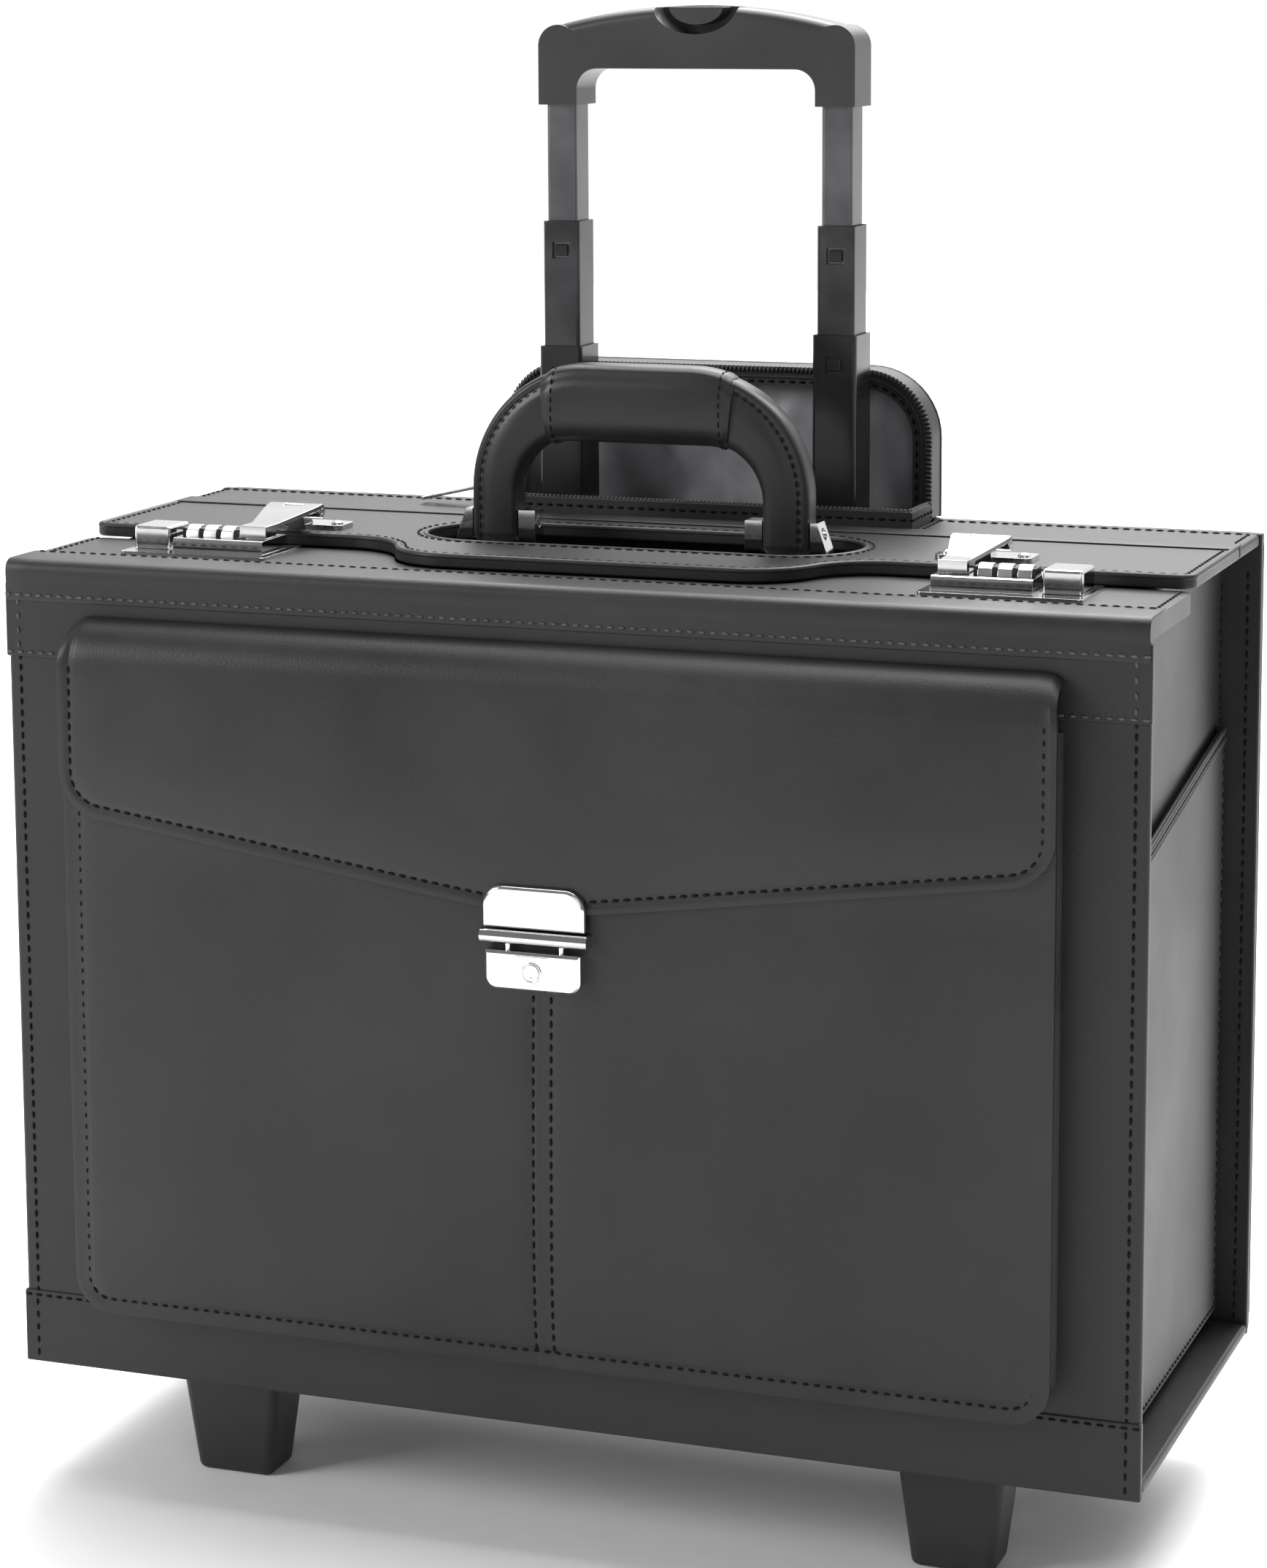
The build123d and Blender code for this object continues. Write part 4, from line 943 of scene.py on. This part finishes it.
def pocket_flap():
    """The flap, from its seam above the pocket, over the bend and down to the pointed edge."""
    sewn_sides = [-flap_half + flap_seam, flap_half - flap_seam, -flap_half, flap_half]
    columns = spread(-flap_half, flap_half, sewn_sides, 0.9 * mm, 5 * mm)
    start_y = front_y - 1.6 * mm
    rows = []
    for k in range(9):
        t = k / 9
        angle = math.pi / 2 * t
        z = flap_bend + (flap_top - flap_bend) * math.cos(angle)
        row_points = []
        for x in columns:
            y = start_y + (flap_surface(x, flap_bend) - start_y) * math.sin(angle) ** 1.15
            tuck = max(0.0, 7 * mm - (flap_half - abs(x))) / (7 * mm)
            lower = tuck ** 2 * 3 * mm * math.cos(angle)
            row_points.append((x * (1 - 0.006 * math.cos(angle)), y, z - lower))
        rows.append(row_points)
    for depth in reversed(spread(0.0, flap_bend - flap_side, [flap_seam, 0.0], 0.9 * mm, 4 * mm)):
        row_points = []
        for x in columns:
            edge = flap_edge(x)
            share = depth / (flap_bend - flap_side)
            climb = depth
            if depth >= flap_hem:
                climb = flap_hem + (depth - flap_hem) * (flap_bend - edge - flap_hem) / (
                    flap_bend - flap_side - flap_hem)
            z = edge + climb
            z = min(z, flap_bend) if share < 1 else flap_bend
            row_points.append((x, flap_surface(x, z), z))
        rows.append(row_points)
    piece = from_rows("pocket_flap_leather", rows)
    shell = piece.modifiers.new("skin", "SOLIDIFY")
    shell.thickness, shell.offset = 2.6 * mm, 1.0
    bevel = piece.modifiers.new("edge", "BEVEL")
    bevel.width, bevel.segments, bevel.angle_limit = 1.0 * mm, 3, math.radians(50)
    return settle(piece)


flap = pocket_flap()
face_outwards(flap)
smooth(flap, 60)
place(flap, None, "case_leather", soft_leather, "pocket_flap")
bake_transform(flap)
flap_rows = []
for side in (-1, 1):
    path = [(side * (flap_half - flap_seam), z) for z in (flap_bend - 1 * mm, flap_side + flap_corner)]
    for k in range(1, 60):
        x = flap_half - flap_seam - (flap_half - flap_seam - flap_lock_clear) * (k / 60) ** 1.6
        path.append((side * x, flap_edge(x, flap_seam)))
    flap_rows.append([(x, flap_surface(x, z) - 0.15 * mm, z) for x, z in subdivide(path)])
sew("pocket_flap", thread, *flap_rows)
print("flap", len(flap.data.polygons), "faces")

# %% [markdown]
# ## Side panels
# Each side has a flat slip pocket with a slanting mouth. Its hem is folded twice, which shows as two ridges, and
# its outline is sewn to the side.

# %% Slip pockets
for side, name in both_sides:
    node = f"{name}_side_pocket"
    dress(node, 0.9 * mm, case_leather)
    looks = (side, 0, 0)
    outline = dense(face_outlines(node, looks)[-1], 4 * mm)
    sew("case", thread, inset(outline, looks, 3 * mm, 0.1 * mm))
    face_x = high_of[node].x if side > 0 else low_of[node].x
    corners = sorted(face_outlines(node, looks)[-1], key=lambda p: p.z)[-2:]
    ends = sorted(corners, key=lambda p: p.y)
    for drop in (1.2 * mm, 5.2 * mm):
        path = [(face_x + side * 0.1 * mm, p.y + (3 * mm if p is ends[0] else -3 * mm), p.z - drop)
                for p in ends]
        piping(f"{name}_mouth_ridge_{round(drop / mm)}", [path], 1.2 * mm, "case", "case_leather", case_leather)
    wall_x = high_of[f"{name}_side_panel"].x if side > 0 else low_of[f"{name}_side_panel"].x
    sewn_x = wall_x + side * 0.1 * mm
    for y in (front_y + 9 * mm, high_of["back_panel"].y - 9 * mm):
        sew("case", thread, [(sewn_x, y, panel_low + 9 * mm), (sewn_x, y, panel_high - 9 * mm)])
    flange = side * (panel_half - 5.5 * mm)
    inner = low_of["back_panel"].y - 0.1 * mm
    sew("case", thread, [(flange, inner, panel_low + 8 * mm), (flange, inner, panel_high - 4 * mm)])
back_outline = dense(face_outlines("back_panel", (0, 1, 0))[-1], 6 * mm)
back_row = inset(back_outline, (0, 1, 0), 6 * mm, 0.1 * mm)
sew("case", thread, back_row + back_row[:1])
piping("back_cord", [inset(back_outline, (0, 1, 0), 1.4 * mm, -1.0 * mm)], 1.6 * mm, "case", "case_leather",
       case_leather, closed=True)
deck_outline = dense(face_outlines("rear_deck", up)[-1], 6 * mm)
sew("case", thread, *runs(inset(deck_outline, up, 4 * mm, 0.1 * mm), lambda p: p.y > hinge_y + 9 * mm))
print("slip pockets, back and deck sewn")

# %% [markdown]
# ## Carry handle
# A stiff core padded with foam and covered in leather that is sewn along its outer edge. The grip is a second
# sleeve over the top. Both are swept along the same arch, the sleeve with a fuller, rounder section.

# %% Handle sweep
arch_half, arch_top = high_of["handle_arch"].x, high_of["handle_arch"].z
arch_foot = low_of["handle_arch"].z
outer_round, inner_round = 52 * mm, 24 * mm
leg_width, crown_height = 20 * mm, 33 * mm
arch_y = (low_of["handle_arch"].y + high_of["handle_arch"].y) / 2
arch_depth = high_of["handle_arch"].y - low_of["handle_arch"].y


def arch_station(t):
    """Outer and inner points of the arch at t: left foot at -1, crown at 0, right foot at 1."""
    side = -1 if t < 0 else 1
    s = 1 - abs(t)
    inner_half, inner_top = arch_half - leg_width, arch_top - crown_height + 3 * mm
    leg, bend = 0.28, 0.46
    if s < leg:
        k = s / leg
        outer = (arch_half, arch_foot + (arch_top - outer_round - arch_foot) * k)
        inner = (inner_half, arch_foot + (inner_top - inner_round - arch_foot) * k)
    elif s < leg + bend:
        angle = (s - leg) / bend * math.pi / 2
        aside, below = 1 - math.cos(angle), 1 - math.sin(angle)
        outer = (arch_half - outer_round * aside, arch_top - outer_round * below)
        inner = (inner_half - inner_round * aside, inner_top - inner_round * below)
    else:
        k = (s - leg - bend) / (1 - leg - bend)
        outer = ((arch_half - outer_round) * (1 - k), arch_top)
        inner = ((inner_half - inner_round) * (1 - k), inner_top)
    return Vector((side * outer[0], 0, outer[1])), Vector((side * inner[0], 0, inner[1]))


def fuller(value, power):
    """A cosine or sine pushed towards 1, which turns an ellipse into a rounded square."""
    return math.copysign(abs(value) ** (2 / power), value)


def sweep(name, start, end, steps, grow, depth, power, groove, swell=0.0):
    """A padded tube along the arch; grow widens it, groove presses a sewn line near its outer edge."""
    rows = []
    around = 44
    for i in range(steps + 1):
        t = start + (end - start) * i / steps
        outer, inner = arch_station(t)
        middle, reach_out = (outer + inner) / 2, (outer - inner) / 2
        half = reach_out.length + grow
        out = reach_out.normalized()
        ends = min(1.0, min(i, steps - i) / 2.0)
        fat = depth / 2 * (1 + swell * math.cos(math.pi * (t - (start + end) / 2) / (end - start)))
        loop_points = []
        for k in range(around):
            angle = 2 * math.pi * k / around
            c, s = math.cos(angle), math.sin(angle)
            r = half * fuller(c, power)
            d = fat * fuller(s, power)
            d *= 1 - groove * math.exp(-(((half - 4.5 * mm) - r) / (1.6 * mm)) ** 2)
            shrink = 0.9 + 0.1 * ends
            loop_points.append(middle + out * r * shrink + Vector((0, arch_y + d * shrink, 0)))
        rows.append(loop_points)
    piece = from_rows(name, rows, closed=True)
    shape = bmesh.new()
    shape.from_mesh(piece.data)
    bmesh.ops.holes_fill(shape, edges=[e for e in shape.edges if e.is_boundary], sides=0)
    bmesh.ops.recalc_face_normals(shape, faces=shape.faces)
    shape.to_mesh(piece.data)
    shape.free()
    smooth(piece, 60)
    return piece


handle_cover = sweep("handle_cover", -1.0, 1.0, 120, 0.2 * mm, arch_depth + 2 * mm, 4.2, 0.16)
place(handle_cover, "carry_handle", "handle_leather", handle_leather, "handle_arch")
grip_half = high_of["handle_grip"].x


def station_at(x):
    """The t where the middle of the arch passes X, found by halving."""
    low, high = 0.0, 0.9
    for _ in range(40):
        middle = (low + high) / 2
        outer, inner = arch_station(middle)
        low, high = (middle, high) if (outer.x + inner.x) / 2 < x else (low, middle)
    return low


grip_t = station_at(grip_half - 1 * mm)
grip_depth = high_of["handle_grip"].y - low_of["handle_grip"].y
grip_power = 3.0
grip_grow = 1.4 * mm
grip_cover = sweep("grip_cover", -grip_t, grip_t, 60, grip_grow, grip_depth - 1 * mm, grip_power, 0.10,
                   swell=0.05)
place(grip_cover, "carry_handle", "handle_leather", handle_leather, "handle_grip")
cover_rows, grip_rows = [], []
cover_half_depth = arch_depth / 2 + 0.6 * mm
for face in (-1, 1):
    path = []
    for i in range(121):
        outer, inner = arch_station(-0.97 + 1.94 * i / 120)
        point = outer + (inner - outer).normalized() * 4.3 * mm
        path.append(point + Vector((0, arch_y + face * cover_half_depth, 0)))
    cover_rows += [path[:int(60 - 61 * grip_t)], path[int(61 + 61 * grip_t):]]
for t in (-grip_t + 0.035, grip_t - 0.035):
    outer, inner = arch_station(t)
    middle, reach_out = (outer + inner) / 2, (outer - inner) / 2
    half = reach_out.length + grip_grow
    ring = []
    for k in range(49):
        angle = 2 * math.pi * k / 48
        c, s = math.cos(angle), math.sin(angle)
        r = half * fuller(c, grip_power)
        d = (grip_depth - 1 * mm) / 2 * fuller(s, grip_power)
        ring.append(middle + reach_out.normalized() * r * 1.005 + Vector((0, arch_y + d * 1.01, 0)))
    grip_rows.append(ring)
row("handle_stitches", stitch_tree, cover_rows + grip_rows, "carry_handle", "handle_leather", thread,
    Pitch=3.8 * mm, Length=2.7 * mm, Depth=0.8 * mm, Width=0.8 * mm)
print("grip covers", round(grip_t, 3), "of the half arch")

# %% [markdown]
# ## Zipped hood
# The hood is a shallow leather box that zips over the pushed-in trolley. Thrown back, it shows its creased
# silver-grey lining inside a dark binding, and the teeth along its rim.

# %% Hood shell, lining and zip
dress("hood", 0.9 * mm, case_leather, segments=3)
dress("hood_hem", 0.8 * mm, case_leather)
dress("zip_rim", 0.7 * mm, zip_tape)
hood_half, hood_low, hood_high = high_of["hood"].x, low_of["hood"].z, high_of["hood"].z
hood_front, hood_back = low_of["hood"].y, high_of["hood"].y
hood_corner = 30 * mm
lining_corner = 27 * mm


def hood_path(within, y):
    """The hood's arch, a little within its outline, as points in space."""
    points = arch_points(hood_half - within, hood_low, hood_high - within, hood_corner - within)
    return [(x, y, z) for x, z in points]


def tape(name, outer, inner, y, thickness):
    """A flat strip of tape between two insets of the hood's arch."""
    piece = from_rows(name, [hood_path(outer, y), hood_path(inner, y)])
    shell = piece.modifiers.new("skin", "SOLIDIFY")
    shell.thickness, shell.offset = thickness, 0.0
    piece = settle(piece)
    face_outwards(piece)
    smooth(piece, 40)
    return piece


place(tape("hood_zip_tape", 0.8 * mm, 8.5 * mm, hood_front + 0.4 * mm, 0.9 * mm), "hood", "zip_tape", zip_tape)
row("hood_zip_teeth", tooth_tree, [hood_path(1.4 * mm, hood_front - 0.1 * mm)], "hood", "zip_tape", zip_teeth)
piping("hood_back_cord", [hood_path(0.9 * mm, hood_back - 0.9 * mm)], 1.4 * mm, "hood", "case_leather",
       case_leather)
piping("hood_rim_cord", [hood_path(4.5 * mm, hood_front + 0.1 * mm)], 0.9 * mm, "hood", "zip_tape", zip_tape)
sew("hood", thread, hood_path(6.6 * mm, hood_front - 0.15 * mm))


def hood_lining_sheet():
    """Thin cloth inside the hood's back, with folds that run down and across."""
    inner_half, top = hood_half - 3 * mm, hood_high - 3 * mm
    rows = []
    for j in range(46):
        z = hood_low + 0.5 * mm + (top - hood_low - 0.5 * mm) * j / 45
        over = max(0.0, z - (top - lining_corner))
        half = inner_half - lining_corner + math.sqrt(max(lining_corner ** 2 - over ** 2, 0))
        points = []
        for i in range(141):
            x = half * (i / 70 - 1)
            fold = noise.noise(Vector((x * 34, z * 13, 1.5))) + 0.5 * noise.noise(Vector((x * 80, z * 55, 9.0)))
            crease = abs(noise.noise(Vector((x * 26 + z * 22, z * 30, 4.2))))
            rim = min(1.0, (half - abs(x)) / (5 * mm), (top - z) / (5 * mm))
            points.append((x, hood_back - 4.6 * mm - (2.4 * fold + 3.0 * crease) * mm * max(rim, 0), z))
        rows.append(points)
    piece = from_rows("hood_lining_cloth", rows)
    shell = piece.modifiers.new("skin", "SOLIDIFY")
    shell.thickness, shell.offset = 0.5 * mm, 0.0
    piece = settle(piece)
    face_outwards(piece)
    smooth(piece, 80)
    return piece


place(hood_lining_sheet(), "hood", "hood_lining", lining_cloth, "hood_lining")
rim_low, rim_high = low_of["zip_rim"], high_of["zip_rim"]
rim_mid = 1.5 * mm
rim_path = [
    (rim_low.x + rim_mid, rim_high.y - 1 * mm, rim_high.z),
    (rim_low.x + rim_mid, rim_low.y + rim_mid, rim_high.z),
    (rim_high.x - rim_mid, rim_low.y + rim_mid, rim_high.z),
    (rim_high.x - rim_mid, rim_high.y - 1 * mm, rim_high.z),
]
row("rim_zip_teeth", tooth_tree, [rim_path], "case", "zip_tape", zip_teeth, Width=1.6 * mm)
sew("case", thread, [(x, y, rim_high.z - 3.5 * mm) for x, y in
                     ((rim_low.x - 0.1 * mm, rim_high.y), (rim_low.x - 0.1 * mm, rim_low.y - 0.1 * mm),
                      (rim_high.x + 0.1 * mm, rim_low.y - 0.1 * mm), (rim_high.x + 0.1 * mm, rim_high.y))])
print("hood from", round(hood_low / mm), "to", round(hood_high / mm))

# %% [markdown]
# ## Trolley
# The grip is moulded plastic with a rounded outline; the tubes are anodised, and a stud shows near the top of
# each tube of the lower and middle stages.

# %% Grip and studs
grip_face = low_of["trolley_grip"].y + 0.3 * mm
grip_rear = high_of["trolley_grip"].y - 0.3 * mm


def on_grip_face(edge):
    """True for the grip's outline edges, front and back, but for those of the scoop."""
    a, b = (v.co for v in edge.verts)
    flat = all(c.y < grip_face for c in (a, b)) or all(c.y > grip_rear for c in (a, b))
    return flat and not (abs(a.x) < 20 * mm and a.z > high_of["trolley_grip"].z - 14 * mm)


dress("trolley_grip", 0.8 * mm, grip_plastic, segments=3, choose=on_grip_face, wide=3.2 * mm)
dress("release_button", 0.8 * mm, grip_plastic)


def top_on(node, side):
    """The top of a pair's tube on one side."""
    return max(vertex.co.z for vertex in frame["nodes"][node].data.vertices if vertex.co.x * side > 0)


for node in ("lower_tubes", "middle_tubes"):
    studs = []
    for side in (-1, 1):
        across = [v.co.x for v in frame["nodes"][node].data.vertices if v.co.x * side > 0]
        x = (min(across) + max(across)) / 2
        z = top_on(node, side) - 12.5 * mm
        y = low_of[node].y
        studs.append(block("stud", (x - 2.9 * mm, y + 0.1 * mm, z - 2.5 * mm),
                           (x + 2.9 * mm, y + 1.3 * mm, z + 2.5 * mm), 0.5 * mm))
    body = body_of(node)
    place(merged(node + "_studs", studs), body, slots[node], black_tube)

# %% [markdown]
# ## Small parts of the locks
# Screws hold the hasps, numbers are stamped and filled on the wheels, and dark blocks fill the slots beside and
# between them as painted shade. The pocket lock has a raised panel round its key.

# %% Screws, numbers and painted shade between the wheels
def dome(name, centre, radius, height, axis=2):
    """A low round head; its flat side is at the centre, and it rises along the axis."""
    shape = bmesh.new()
    bmesh.ops.create_uvsphere(shape, u_segments=20, v_segments=10, radius=1.0)
    for vertex in shape.verts:
        size = [radius, radius, radius]
        size[axis] = height
        vertex.co = Vector(centre) + Vector([c * s for c, s in zip(vertex.co, size)])
    mesh = bpy.data.meshes.new(name)
    shape.to_mesh(mesh)
    shape.free()
    piece = add_object(name, mesh)
    piece.data.shade_smooth()
    return piece


def number_piece(node):
    """The digits 0 to 9 round a wheel, one on each flat, joined into one mesh."""
    low, high = low_of[node], high_of[node]
    middle = (low + high) / 2
    flats = [p.normal for p in frame["nodes"][node].data.polygons if abs(p.normal.x) < 0.01 and p.area > 4e-6]
    turn = math.atan2(-flats[0].y, flats[0].z) if flats else 0.0
    reach_out = (high.z - low.z) / 2 * 0.985
    digits = []
    for i in range(10):
        angle = turn + math.radians(36 * i)
        text = bpy.data.curves.new("digit", "FONT")
        text.body, text.size, text.align_x, text.align_y = str(i), 3.2 * mm, "CENTER", "CENTER"
        text.extrude = 0.06 * mm
        digit = settle(add_object("digit", text))
        c, s = math.cos(angle), math.sin(angle)
        where = Matrix(((1, 0, 0, middle.x), (0, c, -s, middle.y - s * reach_out),
                        (0, s, c, middle.z + c * reach_out), (0, 0, 0, 1)))
        digit.data.transform(where)
        digits.append(digit)
    return merged(node + "_digits", digits)


for side, name in both_sides:
    dials = sorted((f"{name}_dial_{i}" for i in (1, 2, 3)), key=lambda n: low_of[n].x)
    for node in dials:
        place(number_piece(node), node, slots[node], dark_ink)
    # These dark blocks paint the shade in the deep gaps beside and between the number wheels.
    gap_shade_blocks = []
    gaps = [(low_of[dials[0]].x - 1.6 * mm, low_of[dials[0]].x - 0.1 * mm)]
    gaps += [(high_of[a].x + 0.1 * mm, low_of[b].x - 0.1 * mm) for a, b in zip(dials, dials[1:])]
    gaps += [(high_of[dials[-1]].x + 0.1 * mm, high_of[dials[-1]].x + 1.6 * mm)]
    low, high = low_of[dials[0]], high_of[dials[0]]
    for a, b in gaps:
        gap_shade_blocks.append(block("liner", (a, low.y + 0.4 * mm, low.z + 1 * mm),
                            (b, high.y - 0.4 * mm, high.z - 0.9 * mm), 0.3 * mm))
    place(merged(f"{name}_lock_liners", gap_shade_blocks), "front_lid", slots[f"{name}_lock_housing"], black_tube)
    base_low, base_high = low_of[f"{name}_hasp_base"], high_of[f"{name}_hasp_base"]
    heads = [dome("head", (x, (base_low.y + base_high.y) / 2, base_low.z + 2.0 * mm), 2.7 * mm, 1.5 * mm)
             for x in (base_low.x + 4.2 * mm, base_high.x - 4.2 * mm)]
    place(merged(f"{name}_hasp_screws", heads), body_of(f"{name}_hasp_base"), slots[f"{name}_hasp_base"], chrome)
    wall_x = high_of["right_side_panel"].x if side > 0 else low_of["left_side_panel"].x
    stud = dome(f"{name}_side_rivet", (wall_x, front_y + 32 * mm, panel_high - 9 * mm), 1.8 * mm, 0.9 * mm,
                axis=0)
    place(stud, "case", "chrome", dial_nickel)

lock_low, lock_high = low_of["pocket_lock_body"], high_of["pocket_lock_body"]
key_low, key_high = low_of["key_cylinder"], high_of["key_cylinder"]
key_x, key_z, key_r = (key_low.x + key_high.x) / 2, (key_low.z + key_high.z) / 2, (key_high.x - key_low.x) / 2
panel = block("pocket_lock_panel", (key_x - 2.2 * key_r, lock_low.y - 0.35 * mm, lock_low.z + 1.6 * mm),
              (key_x + 2.2 * key_r, lock_low.y + 0.6 * mm, lock_high.z - 1.2 * mm), 0.3 * mm)
place(panel, "case", slots["pocket_lock_body"], chrome)
ring = [(key_x + (key_r + 0.6 * mm) * math.cos(k * math.pi / 16), lock_low.y - 0.4 * mm,
         key_z + (key_r + 0.6 * mm) * math.sin(k * math.pi / 16)) for k in range(32)]
piping("key_ring", [ring], 0.5 * mm, "case", slots["pocket_lock_body"], dial_nickel, closed=True)
print("lock details done; slots in use:", sorted(set(slots.values())))

# %% [markdown]
# ## Thread
# All the remembered stitch paths are set out now, one mesh for each body and colour of thread.

# %% Stitches
for (body, thread_name), paths in sewn.items():
    label = "grey" if thread_name == pale_thread.name else "black"
    row(f"{body}_{label}_stitches", stitch_tree, paths, body, "case_leather", bpy.data.materials[thread_name],
        Pitch=4.7 * mm, Length=3.3 * mm, Depth=1.3 * mm, Width=1.3 * mm)
print("stitch meshes:", len(sewn))

# %% [markdown]
# ## Camera, floor and light
# A long lens a little above the lids, from the right of the pocket, with a pale floor and large soft lights.

# %% Camera and stage
camera_data = bpy.data.cameras.new("camera")
camera = add_object("camera", camera_data)
camera_data.sensor_fit = "VERTICAL"
camera_data.sensor_height = 36.0
camera_data.lens = 91.7
camera_data.shift_x = -0.0085
camera_data.shift_y = -0.1276
turn = Matrix.Rotation(math.radians(20.16), 4, "Z")
tilt = Matrix.Rotation(math.radians(90 - 8.76), 4, "X")
roll = Matrix.Rotation(math.radians(-0.24), 4, "Z")
camera.matrix_world = Matrix.Translation((0.5672, -1.5289, 0.6316)) @ turn @ tilt @ roll
scene.camera = camera

floor_half = 6.0
floor = from_rows("floor", [[(-floor_half, y, 0), (floor_half, y, 0)] for y in (-floor_half, floor_half)])
floor_finish = finish("pale floor", streak_group, {"Across": 3.0, "Along": 3.0},
                      grey(0.90), grey(0.92), (0.7, 0.8), 0.02, 0.1 * mm, **streaked)
floor.data.materials.append(floor_finish)


def soft_light(name, where, aim, size, power):
    """A square area light that points at a place."""
    data = bpy.data.lights.new(name, "AREA")
    data.size = size
    data.energy = power
    light = add_object(name, data)
    light.location = where
    light.rotation_euler = (Vector(aim) - Vector(where)).to_track_quat("-Z", "Y").to_euler()


soft_light("overhead light", (0.0, 0.7, 2.6), (0, 0, 0.3), 2.2, 95)
soft_light("floor light", (0.0, 4.5, 4.0), (0, 3.6, 0), 5.0, 420)
soft_light("left key light", (-2.2, -1.8, 1.5), (0, 0, 0.25), 1.3, 55)
soft_light("front fill light", (1.2, -3.0, 1.4), (0, 0, 0.25), 2.0, 12)
world = bpy.data.worlds.new("studio")
world.use_nodes = True
scene.view_settings.view_transform = "Standard"
sky = world.node_tree.nodes["Background"]
towards = world.node_tree.nodes.new("ShaderNodeTexCoord")
parts = world.node_tree.nodes.new("ShaderNodeSeparateXYZ")
shade = world.node_tree.nodes.new("ShaderNodeMapRange")
shade.interpolation_type = "SMOOTHSTEP"
for label, value in (("From Min", -0.25), ("From Max", 0.35), ("To Min", 0.22), ("To Max", 1.0)):
    shade.inputs[label].default_value = value
world.node_tree.links.new(towards.outputs["Generated"], parts.inputs[0])
world.node_tree.links.new(parts.outputs["Y"], shade.inputs["Value"])
world.node_tree.links.new(shade.outputs["Result"], sky.inputs["Strength"])
sky.inputs["Color"].default_value = (1, 1, 1, 1)
scene.world = world
